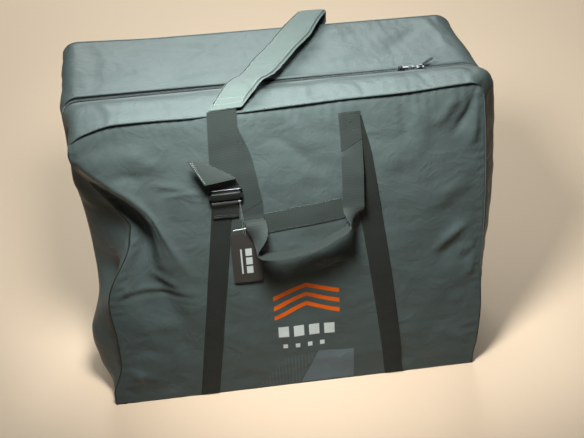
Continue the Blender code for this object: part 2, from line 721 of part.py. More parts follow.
def buckle_frame(name, mat, pivot):
    """The buckle's wire frame: a round bar bent to a rectangle."""
    half = FRAME_INNER / 2 + RAIL_R
    corner = 0.0036
    depth = buckle_depth("rail")
    corners = [(half, FRAME_H, 0.0), (-half, FRAME_H, 90.0), (-half, 0.0, 180.0), (half, 0.0, 270.0)]
    path = []
    for x, z, start in corners:
        cx, cz = x - math.copysign(corner, x), z + (corner if z == 0.0 else -corner)
        for a in np.radians(np.linspace(start, start + 90.0, 4)):
            path.append(buckle_point(cx + corner * math.cos(a), depth, cz + corner * math.sin(a)))
    return sweep(name, flat_loop_rings(path, RAIL_R, 8), mat, pivot, closed=True)


def flat_loop_rings(path, radius, sides):
    """Circles round a closed path that lies in one upright plane."""
    path = np.asarray(path, float)
    along = unit(np.roll(path, -1, axis=0) - np.roll(path, 1, axis=0))
    out = np.broadcast_to(np.array([0.0, -1.0, 0.0]), path.shape)
    side = unit(np.cross(along, out))
    turn = (np.arange(sides) + 0.5) * 2 * math.pi / sides
    ring = side[:, None, :] * np.cos(turn)[None, :, None] + out[:, None, :] * np.sin(turn)[None, :, None]
    return path[:, None, :] + radius * ring


def buckle_bar(name, mat):
    """The sliding bar: T-shaped in plan, so that its ends lap over the frame's side rails."""
    rail = buckle_depth("rail")
    inner = FRAME_INNER / 2 - RAIL_CLEAR
    outer = FRAME_INNER / 2 + 2 * RAIL_R + RAIL_CLEAR
    back, front = rail - BAR_DEPTH / 2 + 0.0006, rail + BAR_DEPTH / 2 + 0.0006
    lap_low, lap_high = rail + RAIL_R + RAIL_CLEAR, rail + RAIL_R + RAIL_CLEAR + 0.0014
    front = min(front, lap_high)
    plan = [(-inner, back), (inner, back), (inner, lap_low), (outer, lap_low), (outer, lap_high),
            (inner - 0.0006, lap_high), (inner - 0.0006, front), (0.0006 - inner, front),
            (0.0006 - inner, lap_high), (-outer, lap_high), (-outer, lap_low), (-inner, lap_low)]
    rings = [[buckle_point(x, d, h) for x, d in plan] for h in (BAR_LOW, BAR_HIGH)]
    pivot = buckle_point(0.0, rail, 0.5 * (BAR_LOW + BAR_HIGH))
    return sweep(name, rings, mat, pivot)


def shoulder_web_front(name, mat, pivot):
    """Shoulder web: from the pad down behind the frame, under the bar, up in front, and its tail."""
    rail = buckle_depth("rail")
    load = SEAM_GAP + 2 * LAYER + WEB_T / 2
    bar_middle = rail + 0.0006
    bend = BAR_DEPTH / 2 + RAIL_CLEAR + WEB_T / 2
    top = PAD_FRONT[2] - 0.0038
    down = [(load + 0.0006, top - BUCKLE_Z), (load, top - 0.016 - BUCKLE_Z)]
    down += [(load, h) for h in np.linspace(0.670 - BUCKLE_Z, FRAME_H + 0.006, 6)]
    down += [(load, FRAME_H), (load + 0.0004, FRAME_H - 0.0035), (bar_middle - bend, BAR_HIGH - 0.0015)]
    turn = np.linspace(math.radians(-90.0), math.radians(90.0), 11)
    under = [(bar_middle + bend * math.sin(a), BAR_LOW - bend * math.cos(a) + 0.0006) for a in turn]
    lay = load + LAYER
    over = [(bar_middle + bend, BAR_HIGH + 0.0002), (bar_middle + bend - 0.0006, BAR_HIGH + 0.0016),
            (bar_middle + 0.0010, BAR_HIGH + 0.0028), (rail, BAR_HIGH + 0.0032), (rail - 0.0022, BAR_HIGH + 0.0045), (lay, FRAME_H - 0.0006)]
    route = [(max(h - FRAME_H, 0.0), d, h) for d, h in down]
    route += [(0.0, d, h) for d, h in under + over]
    lean = SHOULDER_LEAN / (top - BUCKLE_Z - FRAME_H)
    flat = np.array([buckle_point(lean * a, d, h) for a, d, h in route])
    rings = web_rings(flat, (1.0, 0.0, 0.0), SHOULDER_W, WEB_T)
    return sweep(name, np.concatenate([rings, tail_rings(lay)]), mat, pivot)


def tail_rings(lay):
    """The tail: up from the buckle to a slanting fold, then forward and down to the left."""
    start = FRAME_H + BAR_TRAVEL + 0.0026
    low = [np.array(buckle_point(x, lay, start)) for x in (-SHOULDER_W / 2, SHOULDER_W / 2)]
    fold = [np.array(buckle_point(*p)) for p in (TAIL_FOLD_LEFT, TAIL_FOLD_RIGHT)]
    crease = unit(fold[1] - fold[0])
    rise = unit(np.mean(fold, axis=0) - np.mean(low, axis=0))
    up = unit(rise - crease * np.dot(rise, crease))
    out = np.cross(crease, up)
    out = out * (-1.0 if out[1] > 0.0 else 1.0)
    rows = []
    for share in (0.0, 0.33, 0.66, 1.0):
        rows.append((low[0] + (fold[0] - low[0]) * share, low[1] + (fold[1] - low[1]) * share, out))
    angle = math.radians(TAIL_FOLD_ANGLE)
    for turn in np.linspace(0.0, angle, 6)[1:]:
        face = out * math.cos(turn) - up * math.sin(turn)
        shift = TAIL_BEND_R * (out - face)
        rows.append((fold[0] + shift, fold[1] + shift, face))
    over = up * math.cos(angle) + out * math.sin(angle)
    lead = np.dot(rise, crease) * crease + np.dot(rise, up) * over
    uneven = abs(np.dot(fold[1] - fold[0], rise))
    left, right, face = rows[-1]
    for share in (0.5, 1.0):
        rows.append((left + lead * TAIL_LENGTH * share, right + lead * (TAIL_LENGTH + uneven) * share, face))
    half = WEB_T / 2
    return np.array([[a + f * half, b + f * half, b - f * half, a - f * half] for a, b, f in rows])


def pad_path(share):
    """Middle of the shoulder pad, from its front end (0) to where it bends down behind (1)."""
    share = np.asarray(share, float)
    ends = np.array([PAD_FRONT, PAD_REAR])
    line = ends[0] + (ends[1] - ends[0]) * share[:, None]
    line[:, 2] += PAD_CAMBER * np.sin(math.pi * share)
    return line


def shoulder_pad(name, mat, pivot):
    """The padded length over the top of the bag, pinched thin at its sewn ends and edges."""
    share = np.linspace(0.0, 1.0, 17)
    path = pad_path(share)
    end = np.array(PAD_REAR)
    drop = [end + (0.0, 0.010, -0.006), end + (0.0, 0.0135, -0.018), end + (0.0, 0.0135, -0.034)]
    path = np.vstack([path, drop])
    share = np.concatenate([share, [1.03, 1.07, 1.12]])
    square = ease(0.0, 0.25, share) * (1.0 - ease(0.75, 1.0, share))
    run = unit(np.array([PAD_REAR[0] - PAD_FRONT[0], PAD_REAR[1] - PAD_FRONT[1]]))
    across = np.stack([1.0 - (1.0 - run[1]) * square, -run[0] * square, np.zeros_like(square)], axis=1)
    along = unit(np.gradient(path, axis=0))
    across = unit(across - along * np.sum(across * along, axis=1, keepdims=True))
    face = np.cross(across, along)
    fill = ease(-0.02, 0.08, share) * (1.0 - ease(1.02, 1.14, share))
    high = WEB_T / 2 + (PAD_T - WEB_T) * fill / 2
    rings = []
    shape = [(-1.0, 0.0), (-0.94, 0.55), (-0.55, 1.0), (0.55, 1.0), (0.94, 0.55),
             (1.0, 0.0), (0.94, -0.55), (0.55, -1.0), (-0.55, -1.0), (-0.94, -0.55)]
    for k in range(len(path)):
        rings.append([path[k] + across[k] * a * PAD_W / 2 + face[k] * b * high[k] for a, b in shape])
    return sweep(name, rings, mat, pivot)


def shoulder_web_rear(name, mat, pivot):
    """The web from the pad's rear end down the back panel, to the line where it is sewn."""
    start = np.array(PAD_REAR) + (0.0, 0.0135, -0.034 - SEAM_GAP)
    foot = HALF_D + SEAM_GAP + 2 * LAYER + WEB_T / 2
    route = [start, start + (0.0, 0.0, -0.006), (start[0], 0.5 * (start[1] + foot), 0.655),
             (start[0], foot + 0.001, 0.635), (start[0], foot, 0.605),
             (start[0], foot, 0.582), (start[0], foot, ANCHOR_HEAD_Z + SEAM_GAP)]
    path = np.array(route, float)
    return sweep(name, web_rings(path, (1.0, 0.0, 0.0), SHOULDER_W, WEB_T), mat, pivot)


def shoulder_anchor(name, mat):
    """The lower end of the rear web, sewn flat on the back's strap."""
    heights = np.linspace(ANCHOR_FOOT_Z, ANCHOR_HEAD_Z, 4)
    depth = HALF_D + SEAM_GAP + 2 * LAYER + WEB_T / 2
    path = np.stack([np.full_like(heights, PAD_REAR[0]), np.full_like(heights, depth), heights], axis=1)
    return sweep(name, web_rings(path, (1.0, 0.0, 0.0), SHOULDER_W, WEB_T), mat)


def anchor_axis():
    """The line on which the padded strap folds back, at the top of its sewn end."""
    return (PAD_REAR[0], HALF_D + 2 * SEAM_GAP + 2 * LAYER + WEB_T, ANCHOR_HEAD_Z)


def cord_run():
    """The hang tag's thread: where its two bends lie, across, out and up."""
    x_rail = SHOULDER_X + TAB_SHIFT + TAB_W / 2 + 0.0022
    eye_z = TAG_TOP_Z - TAG_EYE_DROP
    return {"rail": (x_rail, buckle_depth("rail"), BUCKLE_Z), "eye": (TAG_X, tag_depth(), eye_z)}


def tag_depth():
    """The hang tag lies in front of the sewn straps and behind the handle's leg."""
    return SEAM_GAP + LAYER + 0.0040


def tag_pivot():
    """The tag swings about the rail that its thread hangs from."""
    x, depth, z = cord_run()["rail"]
    return (x, front_y(depth), z)


def tag_cord(name, mat):
    """A closed loop of thread over the buckle's rail and through the tag's eye."""
    run = cord_run()
    x0, d0, z0 = run["rail"]
    x1, d1, z1 = run["eye"]
    over = RAIL_R + RAIL_CLEAR + CORD_D / 2
    under = 0.0022
    path = []
    for a in np.radians(np.linspace(-90.0, 90.0, 7)):
        path.append((x0, front_y(d0 + over * math.sin(a)), z0 + over * math.cos(a)))
    for share in (0.25, 0.5, 0.75):
        depth = d0 + over + (d1 + under - d0 - over) * share
        path.append((x0 + (x1 - x0) * share, front_y(depth), z0 + (z1 + under + 0.0010 - z0) * share))
    for a in np.radians(np.linspace(90.0, -90.0, 7)):
        path.append((x1, front_y(d1 + under * math.sin(a)), z1 + under - under * math.cos(a) + 0.0010))
    for share in (0.75, 0.5, 0.25):
        depth = d0 - over + (d1 - under - d0 + over) * share
        path.append((x0 + (x1 - x0) * share, front_y(depth), z0 + (z1 + under + 0.0010 - z0) * share))
    return sweep(name, upright_loop_rings(path, CORD_D / 2, 6), mat, tag_pivot(), closed=True)


def upright_loop_rings(path, radius, sides):
    """Circles round a closed path that lies nearly in a plane across the bag."""
    path = np.asarray(path, float)
    along = unit(np.roll(path, -1, axis=0) - np.roll(path, 1, axis=0))
    side = np.broadcast_to(np.array([1.0, 0.0, 0.0]), path.shape)
    side = unit(side - along * np.sum(side * along, axis=1, keepdims=True))
    other = np.cross(along, side)
    turn = np.arange(sides) * 2 * math.pi / sides
    ring = side[:, None, :] * np.cos(turn)[None, :, None] + other[:, None, :] * np.sin(turn)[None, :, None]
    return path[:, None, :] + radius * ring


def hang_tag(name, mat):
    """A blank card with rounded corners and an eye for its thread."""
    outline = []
    corners = [(TAG_W / 2, 0.0, 0.0), (-TAG_W / 2, 0.0, 90.0),
               (-TAG_W / 2, -TAG_H, 180.0), (TAG_W / 2, -TAG_H, 270.0)]
    for x, z, start in corners:
        cx = x - math.copysign(TAG_CORNER, x)
        cz = z - TAG_CORNER if z == 0.0 else z + TAG_CORNER
        for a in np.radians(np.linspace(start, start + 90.0, 4)):
            outline.append((cx + TAG_CORNER * math.cos(a), cz + TAG_CORNER * math.sin(a)))

    def plane(a, b, height):
        """Stand the card upright in front of the bag."""
        return (TAG_X + a, front_y(tag_depth() + height), TAG_TOP_Z + b)

    eye = circle((0.0, -TAG_EYE_DROP), TAG_EYE_R, 8)
    return outline_prism(name, outline, [eye], plane, -TAG_T / 2, TAG_T / 2, mat, tag_pivot())


def binding(name, y0, y1, mat):
    """The tape bound over a seam's raw edges, round the inside of the front or back panel."""
    low = FABRIC + BINDING_GAP
    rings = []
    for offset_line in zip(hoop(low, low), hoop(low + BINDING_T, low + BINDING_T)):
        (xo, zo), (xi, zi) = offset_line
        rings.append([(xo, y0, zo), (xo, y1, zo), (xi, y1, zi), (xi, y0, zi)])
    return sweep(name, rings, mat, closed=True)


def build_shell(fabric, tape):
    """Panels, gussets, base and the bound seams inside."""
    edge = HALF_D - FABRIC - SEAM_GAP
    slot = zip_stations()["fabric"]
    far = zip_stations()["tape"][2]
    bound = BINDING_W - edge
    front_ys = np.concatenate([[-edge], np.linspace(bound, ZIP_Y - far, 4), [ZIP_Y - slot]])
    rear_ys = np.insert(np.linspace(ZIP_Y + far, edge, 5), 0, ZIP_Y + slot)
    big_panel("front_panel", -HALF_D, FABRIC - HALF_D, fabric)
    big_panel("back_panel", HALF_D, HALF_D - FABRIC, fabric)
    for part in ("left", "top", "right"):
        band(part + "_gusset_front", part, front_ys, -1, fabric)
        band(part + "_gusset_rear", part, rear_ys, 0, fabric)
    half = HALF_W - FABRIC - SEAM_GAP
    floor = np.array([[(-half, -edge, 0.0), (half, -edge, 0.0)], [(-half, edge, 0.0), (half, edge, 0.0)]])
    slab("base_panel", floor, floor + np.array([0.0, 0.0, FABRIC]), fabric)
    binding("front_seam_binding", BINDING_GAP - edge, bound, tape)
    binding("back_seam_binding", edge - BINDING_W, edge - BINDING_GAP, tape)


def build_zip(tape, coil, metal):
    """Tapes, chain halves, end stops, two sliders and their pulls."""
    for place, sign in (("front", -1.0), ("rear", 1.0)):
        zip_tape("zip_tape_" + place, sign, tape)
        zip_chain("zip_chain_" + place, sign, coil)
    zip_stop("zip_end_patch_left", -1.0, tape)
    zip_stop("zip_end_patch_right", 1.0, tape)
    for place, x, nose in (("left", SLIDER_X[0], 1.0), ("right", SLIDER_X[1], -1.0)):
        slider_body("zip_slider_" + place, x, nose, metal)
    pull_tab("zip_pull_left", SLIDER_X[0], 1.0, 0.0, metal)
    pull_tab("zip_pull_right", SLIDER_X[1], -1.0, RIGHT_PULL_LIFT, metal)


def build_webbing(web):
    """Sewn straps, cross straps, handle ends and handle loops, front and back."""
    for place, back in (("front", False), ("back", True)):
        sides = ("right", "left") if back else ("left", "right")
        for side in (0, 1):
            sewn_strap(f"{place}_{sides[side]}_strap", side, web, back)
            handle_tab(f"{place}_handle_{sides[side]}_end", side, web, back)
        cross_strap(place + "_cross_strap", web, back)
        handle_loop(place + "_handle", web, back)


def build_shoulder_strap(web, pad, metal, plastic):
    """Buckle with its tab and bar, front web, pad, rear web and its sewn end."""
    rail = buckle_point(0.0, buckle_depth("rail"), 0.0)
    buckle_tab("buckle_tab", web)
    buckle_frame("buckle_frame", metal, rail)
    buckle_bar("buckle_bar", plastic)
    shoulder_web_front("shoulder_web_front", web, buckle_point(0.0, buckle_depth("rail"), BAR_LOW))
    shoulder_pad("shoulder_pad", pad, anchor_axis())
    shoulder_web_rear("shoulder_web_rear", web, anchor_axis())
    shoulder_anchor("shoulder_anchor", web)


def build_hang_tag(card, thread):
    """The blank card and its thread."""
    hang_tag("hang_tag", card)
    tag_cord("tag_cord", thread)


def main():
    """Build every piece of the bag."""
    for obj in list(bpy.data.objects):
        bpy.data.objects.remove(obj, do_unlink=True)
    fabric = material("bag_fabric", (0.060, 0.082, 0.078), 0.72)
    web = material("webbing", (0.030, 0.038, 0.034), 0.80)
    pad = material("pad_fabric", (0.110, 0.140, 0.130), 0.78)
    tape = material("zip_tape", (0.030, 0.036, 0.036), 0.85)
    coil = material("zip_coil", (0.060, 0.068, 0.068), 0.50)
    metal = material("dark_metal", (0.180, 0.190, 0.195), 0.30, 1.0)
    plastic = material("black_plastic", (0.012, 0.012, 0.012), 0.40)
    card = material("tag_card", (0.030, 0.028, 0.026), 0.60)
    thread = material("tag_thread", (0.700, 0.700, 0.680), 0.60)
    build_shell(fabric, tape)
    build_zip(tape, coil, metal)
    build_webbing(web)
    build_shoulder_strap(web, pad, metal, plastic)
    build_hang_tag(card, thread)


main()
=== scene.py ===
# %% [markdown]
# # Soft travel bag with a zip, hand loops and a padded shoulder strap
#
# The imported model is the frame: its nodes give the places, the sizes and the bodies that move. This script
# dresses it. Almost every piece is soft, so it is made anew as a grid surface of two parameters, laid out
# on a neat box (X across, Y from front to back, Z up) and carried to its place by one function, `drape`.
# Each new piece says which nodes it replaces, and rides on their body.

# %% Load the frame
import json
import math

import bpy
import mathutils
import numpy as np
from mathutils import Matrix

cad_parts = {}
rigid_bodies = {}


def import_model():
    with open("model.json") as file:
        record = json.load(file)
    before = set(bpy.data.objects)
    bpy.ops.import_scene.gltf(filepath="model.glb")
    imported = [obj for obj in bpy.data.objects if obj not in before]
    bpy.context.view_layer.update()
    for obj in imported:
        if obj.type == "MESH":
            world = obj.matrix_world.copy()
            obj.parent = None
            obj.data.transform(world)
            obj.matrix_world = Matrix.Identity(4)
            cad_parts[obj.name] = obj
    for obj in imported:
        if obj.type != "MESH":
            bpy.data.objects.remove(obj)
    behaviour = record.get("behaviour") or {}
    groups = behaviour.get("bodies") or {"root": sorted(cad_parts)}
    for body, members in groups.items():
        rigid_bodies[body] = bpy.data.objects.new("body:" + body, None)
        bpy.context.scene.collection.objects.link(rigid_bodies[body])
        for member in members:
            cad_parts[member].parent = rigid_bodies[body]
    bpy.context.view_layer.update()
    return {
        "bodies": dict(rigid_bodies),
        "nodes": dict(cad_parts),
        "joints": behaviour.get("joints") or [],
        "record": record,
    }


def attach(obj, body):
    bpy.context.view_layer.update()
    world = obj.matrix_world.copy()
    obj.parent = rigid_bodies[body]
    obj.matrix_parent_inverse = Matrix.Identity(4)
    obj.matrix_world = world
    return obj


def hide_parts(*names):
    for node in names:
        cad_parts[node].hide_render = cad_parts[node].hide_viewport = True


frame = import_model()
FINE = 1.0
for kind in ("nodes", "bodies", "joints"):
    print("frame:", len(frame[kind]), kind)

# %% [markdown]
# ## The neat box
# A travel bag is cut from flat panels, and if it were full it would stand as a plain box with two rounded
# top corners. All places are given on that box first, in metres, because flat panels are easy to lay out.
# The frame's nodes can't give these sizes, since they are slumped already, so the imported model's driving
# sizes are written here once more.

# %% Sizes of the box, its cloth and its zip
BAG_W, BAG_D, BAG_H = 0.780, 0.320, 0.700
HALF_W, HALF_D = BAG_W / 2, BAG_D / 2
CORNER_R, FABRIC, SEAM_GAP = 0.035, 0.003, 0.0004
ZIP_Y, ZIP_SLOT = -0.042, 0.0104
SLOT = ZIP_SLOT / 2
HEM = SLOT + 0.0018
SHOULDER_X = -0.1100
print("neat box:", BAG_W, "x", BAG_D, "x", BAG_H, "m")

# %% [markdown]
# ## The slump
# A half-empty bag hangs between its seams: the top sags at the zip, the right side swells, the left side
# caves in, and a fold hangs over the hollow below it. A lattice or a cloth simulation could give that shape.
# A formula is used instead, because cloth, straps, teeth and stitches all go through the same one and so
# still touch each other afterwards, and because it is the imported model's own.

# %% Two soft steps
def ease(low, high, value):
    """s = 3t^2 - 2t^3 with t = (value - low) / (high - low), held between 0 and 1."""
    t = np.clip((value - low) / (high - low), 0.0, 1.0)
    return t * t * (3.0 - 2.0 * t)


def bell(value):
    """exp(-value^2), the round profile of every soft fold."""
    return np.exp(-value ** 2)


print("ease(0, 1, 0.25) is", ease(0.0, 1.0, 0.25), "and bell(1) is", round(float(bell(1.0)), 3))

# %% How far each part of the bag gives way
ZIP_SAG, ZIP_TILT = 0.0125, 0.0065
CROWN, LEFT_DROP, RIGHT_LIFT, ROLL_RISE = 0.006, 0.016, 0.006, 0.010
REAR_SAG, REAR_TWIST = 0.006, 0.010
BELLY, RIGHT_PUFF, LEAN_OUT, CAVE_IN, LOW_TUCK = 0.020, 0.024, 0.012, 0.085, 0.026
GUSSET_WAVES = ((0.21, 0.14, 0.042), (0.46, 0.08, -0.034), (0.74, 0.10, 0.022), (0.92, 0.05, -0.024))
TOE_OUT = (0.001, 0.009)
HOLLOW, FLAP_PROUD, PILLOW = 0.038, 0.016, 0.012
# shares of the height over which the slump fades in above the floor
OFF_FLOOR = (0.012, 0.10)

# %% From the front edge to the zip
ZIP_V = ZIP_Y / HALF_D


def to_zip(v):
    """0 at the front edge and 1 at the zip."""
    return np.clip((v + 1.0) / (ZIP_V + 1.0), 0.0, 1.0)


def near_front(v):
    """How much of the front's own slump is left there: 1 at the front edge and 0 from the zip on."""
    return 1.0 - ease(0.0, 1.0, to_zip(v))

# %% Height: the front edge, the zip and the rear edge
def top_rise(u, v, w):
    """dz = the heights of three lines along the top, each fading into the next, and a roll before the zip.

    u, v and w are x, y and z as shares of the half width, the half depth and the height.
    """
    front, rear = near_front(v), ease(ZIP_V, 1.0, v)
    front_edge = CROWN - LEFT_DROP * ease(0.75, 1.0, -u) + RIGHT_LIFT * ease(0.6, 1.0, u)
    front_edge = front_edge - CROWN * bell((u + 0.3) / 0.3)
    zip_line = -ZIP_SAG - ZIP_TILT * u
    rear_edge = -REAR_SAG - REAR_TWIST * u + REAR_SAG * ease(0.5, 1.0, -u)
    rise = front_edge * front + zip_line * (1.0 - front) * (1.0 - rear) + rear_edge * rear
    rise = rise + ROLL_RISE * np.sin(math.pi * to_zip(v)) ** 2 * (v < ZIP_V)
    return rise * ease(0.45, 1.0, w)

# %% Width: the right side swells and the left side caves in
def side_spread(u, v, w):
    """dx = a belly and a puff on the right, and a lean, two hollows and the gusset's waves on the left."""
    front, left, right = near_front(v), ease(0.55, 1.0, -u), ease(0.2, 1.0, u)
    dx = right * BELLY * np.sin(math.pi * np.clip(w, 0.0, 1.0) ** 1.1) ** 0.7 * (0.35 + 0.65 * front)
    depth = ease(-1.05, -0.6, v) * (1.0 - 0.75 * ease(-0.5, 1.0, v))
    dx = dx + RIGHT_PUFF * ease(0.75, 1.0, u) * ease(0.30, 0.62, w) * depth
    dx = dx - LEAN_OUT * ease(0.5, 1.0, -u) * ease(0.5, 0.95, w) * (1.0 - front)
    dx = dx + front * left * CAVE_IN * bell((w - 0.63) / 0.17) * ease(0.02, 0.3, w)
    dx = dx + front * left * LOW_TUCK * ease(0.02, 0.18, w) * (1.0 - ease(0.25, 0.5, w))
    for height, spread, out in GUSSET_WAVES:
        wave = bell((w - height) / spread) * np.sin(math.pi * to_zip(v)) ** 2
        dx = dx - left * out * wave * ease(0.012, 0.06, w)
    return dx

# %% Depth: the fold that hangs over the hollow, the pillow and the foot
def front_hang(u, v, w):
    """dy = a hollow below the slanting fold, a flap that stands proud above it, and the panel's pillow."""
    below_fold = -np.maximum(u, -0.985) - 0.04 - w
    soft = 0.150 + 0.090 * (1.0 - ease(0.55, 0.92, -u))
    calm = 0.40 + 0.45 * ease(0.66, 0.94, -u)
    hollow = ease(0.46, 0.70, -u) * ease(0.0, soft, below_fold)
    hollow = hollow * (1.0 - ease(0.18, 0.50, below_fold))
    flap = ease(0.43, 0.70, -u) * bell(np.maximum(-below_fold, 0.0) / 0.16)
    flap = flap * (1.0 - ease(0.0, 0.9 * soft, below_fold))
    dy = calm * (HOLLOW * hollow - FLAP_PROUD * flap)
    pillow = PILLOW * np.clip(1.0 - u * u, 0.0, 1.0) * np.sin(math.pi * np.clip(w, 0.0, 1.0))
    return near_front(v) * (dy - pillow)


def toe_out(u, v, w):
    """How far the front's foot stands forward: more at the right, and nothing above half the height."""
    toe = TOE_OUT[0] + (TOE_OUT[1] - TOE_OUT[0]) * (u + 1.0) / 2
    return near_front(v) * toe * (1.0 - ease(0.0, 0.5, w))

# %% The slump itself
def slump(points):
    """p' = p + (dx, dy, dz), with dx and dy fading out at the floor, so that the base stays flat."""
    points = np.asarray(points, float)
    u, v, w = points[..., 0] / HALF_W, points[..., 1] / HALF_D, points[..., 2] / BAG_H
    off_floor = ease(*OFF_FLOOR, w)
    dx = side_spread(u, v, w) * off_floor
    dy = front_hang(u, v, w) * off_floor - toe_out(u, v, w)
    return points + np.stack([dx, dy, top_rise(u, v, w)], axis=-1)


sunk = slump([0.0, ZIP_Y, BAG_H])[2] - BAG_H
print("slump: the middle of the zip hangs", round(-1000 * float(sunk), 1), "mm low")

# %% [markdown]
# ## Fine folds
# Coated cloth that has been folded for storage keeps sharp little ridges where it was creased. They could
# be a bump in the material, but then they would cast no shadow and leave the outline smooth. Here each one
# moves the surface: a ridge, or with a negative height a valley, `h * exp(-(d / w)^2)`, along a short line
# that fades at both ends. Below them lies a slow rumple of sines.

# %% The folds of the front, one by one
# x0, z0, x1, z1, width, height; the folds of the front panel, seen from the front
FRONT_FOLDS = (
    (-0.325, 0.560, -0.196, 0.340, 0.008, 0.0040), (-0.340, 0.520, -0.222, 0.335, 0.013, -0.0025),
    (-0.385, 0.302, -0.190, 0.292, 0.008, 0.0022), (-0.385, 0.286, -0.180, 0.278, 0.008, -0.0016),
    (-0.300, 0.350, -0.215, 0.305, 0.010, 0.0030), (-0.370, 0.330, -0.345, 0.300, 0.006, 0.0030),
    (-0.375, 0.640, -0.250, 0.600, 0.022, 0.0030), (-0.350, 0.590, -0.270, 0.575, 0.012, -0.0022),
    (-0.285, 0.640, -0.225, 0.585, 0.016, 0.0026), (-0.250, 0.560, -0.180, 0.545, 0.008, 0.0020),
    (-0.230, 0.530, -0.150, 0.535, 0.006, 0.0015), (-0.320, 0.210, -0.210, 0.200, 0.022, 0.0020),
    (-0.380, 0.150, -0.240, 0.120, 0.018, -0.0024), (-0.370, 0.085, -0.290, 0.060, 0.010, 0.0030),
    (-0.385, 0.060, -0.345, 0.020, 0.006, -0.0024), (-0.350, 0.100, -0.330, 0.030, 0.008, 0.0022),
    (0.376, 0.700, 0.318, 0.590, 0.0085, -0.0052), (0.392, 0.690, 0.345, 0.560, 0.015, 0.0070),
    (0.330, 0.690, 0.290, 0.620, 0.012, 0.0040), (0.247, 0.672, 0.262, 0.560, 0.016, 0.0036),
    (0.225, 0.672, 0.232, 0.590, 0.010, -0.0024), (0.170, 0.560, 0.330, 0.545, 0.030, 0.0030),
    (0.290, 0.455, 0.350, 0.490, 0.018, 0.0026), (0.285, 0.325, 0.345, 0.385, 0.010, 0.0040),
    (0.292, 0.300, 0.350, 0.350, 0.013, -0.0022), (0.300, 0.440, 0.330, 0.380, 0.022, -0.0034),
    (0.340, 0.290, 0.388, 0.330, 0.010, -0.0028), (0.345, 0.250, 0.385, 0.285, 0.012, 0.0030),
    (0.320, 0.200, 0.380, 0.160, 0.020, 0.0022), (0.010, 0.690, 0.060, 0.575, 0.014, 0.0022),
    (-0.015, 0.640, 0.060, 0.560, 0.010, -0.0018), (0.020, 0.560, 0.100, 0.520, 0.020, 0.0020),
    (0.300, 0.110, 0.385, 0.060, 0.014, 0.0026), (0.020, 0.360, 0.130, 0.345, 0.024, 0.0016),
)
print("front:", len(FRONT_FOLDS), "folds")

# %% The folds of the top, one by one
# x0, y0, x1, y1, width, height; the folds of the top, seen from above
TOP_FOLDS = (
    (-0.340, 0.150, -0.330, -0.020, 0.012, -0.0028), (-0.300, 0.020, -0.200, 0.060, 0.014, 0.0026),
    (-0.235, 0.120, -0.060, 0.075, 0.016, -0.0026), (-0.200, 0.000, -0.030, 0.012, 0.012, 0.0022),
    (0.100, 0.100, 0.250, 0.130, 0.016, 0.0026), (0.230, 0.020, 0.330, 0.120, 0.014, -0.0028),
    (0.330, 0.150, 0.345, 0.000, 0.010, 0.0030), (0.120, 0.020, 0.240, 0.030, 0.016, 0.0020),
    (-0.120, 0.140, -0.110, 0.040, 0.012, 0.0020), (0.270, -0.090, 0.285, -0.150, 0.006, -0.0028),
    (0.150, -0.100, 0.165, -0.155, 0.006, -0.0024), (0.060, -0.095, 0.050, -0.150, 0.007, 0.0022),
    (-0.220, -0.090, -0.200, -0.150, 0.008, -0.0022), (-0.320, -0.080, -0.300, -0.150, 0.008, 0.0024),
    (0.340, -0.070, 0.360, -0.130, 0.006, -0.0030), (-0.060, -0.090, -0.030, -0.150, 0.007, -0.0020),
)
print("top:", len(TOP_FOLDS), "folds")

# %% A sum of folds
def fold_field(a, b, folds):
    """h = sum of h_k * exp(-(d_k / w_k)^2) * fade_k, d_k the distance from the fold's line."""
    total = np.zeros_like(a)
    for a0, b0, a1, b1, width, height in folds:
        run = math.hypot(a1 - a0, b1 - b0)
        ca, cb = (a1 - a0) / run, (b1 - b0) / run
        along = ((a - a0) * ca + (b - b0) * cb) / run
        side = (b - b0) * ca - (a - a0) * cb
        side = side - 0.05 * run * np.sin(math.pi * np.clip(along, 0.0, 1.0))
        fade = ease(-0.15, 0.30, along) * (1.0 - ease(0.65, 1.12, along))
        total = total + height * bell(side / width) * fade
    return total

# %% A slow rumple, and the gathers beside a seam
def rumple(a, b, seed, size=0.10):
    """A slow rumple between about -1 and 1: nine sines with their own directions and lengths."""
    draw = np.random.default_rng(seed)
    total = np.zeros_like(a)
    for turn, length, phase in zip(draw.uniform(0, math.pi, 9), draw.uniform(0.6, 2.2, 9) * size,
                                   draw.uniform(0, 2 * math.pi, 9)):
        total = total + np.sin((a * math.cos(turn) + b * math.sin(turn)) * 2 * math.pi / length + phase)
    return total / 3.6


def seam_pucker(along, distance, pitch=0.017, reach=0.020):
    """Little gathers beside a seam: sin(2 pi s / pitch) * exp(-(d / reach)^2), uneven along s."""
    uneven = 0.6 + 0.4 * np.sin(along * 61.0 + 2.0 * np.sin(along * 17.0))
    rise = ease(0.001, 0.010, distance)
    wave = np.sin(2 * math.pi * along / pitch + 1.5 * np.sin(along * 23.0))
    return wave * bell(distance / reach) * uneven * rise

# %% [markdown]
# ## Relief of each side
# The four kinds of side wrinkle in their own way: the front panel has the creases, the top is held still
# beside the zip, and the sides are rumpled most. Each gets a function that says how far its cloth stands
# out, in metres, so that a side can be changed without the others.

# %% Front and back panels
def front_relief(x, z):
    """How far the front panel's fabric stands proud of the slump."""
    edge = np.minimum(HALF_W - np.abs(x), np.minimum(BAG_H - z, z))
    window = ease(0.004, 0.045, edge)
    fine = 0.0017 * rumple(x, z, 3) + 0.0006 * rumple(x, z, 5, 0.040)
    top = 0.0010 * seam_pucker(x, BAG_H - z, 0.019, 0.045)
    sides = 0.0008 * seam_pucker(z, HALF_W - np.abs(x), 0.023, 0.030)
    return window * (fine + 1.25 * fold_field(x, z, FRONT_FOLDS)) + top + sides


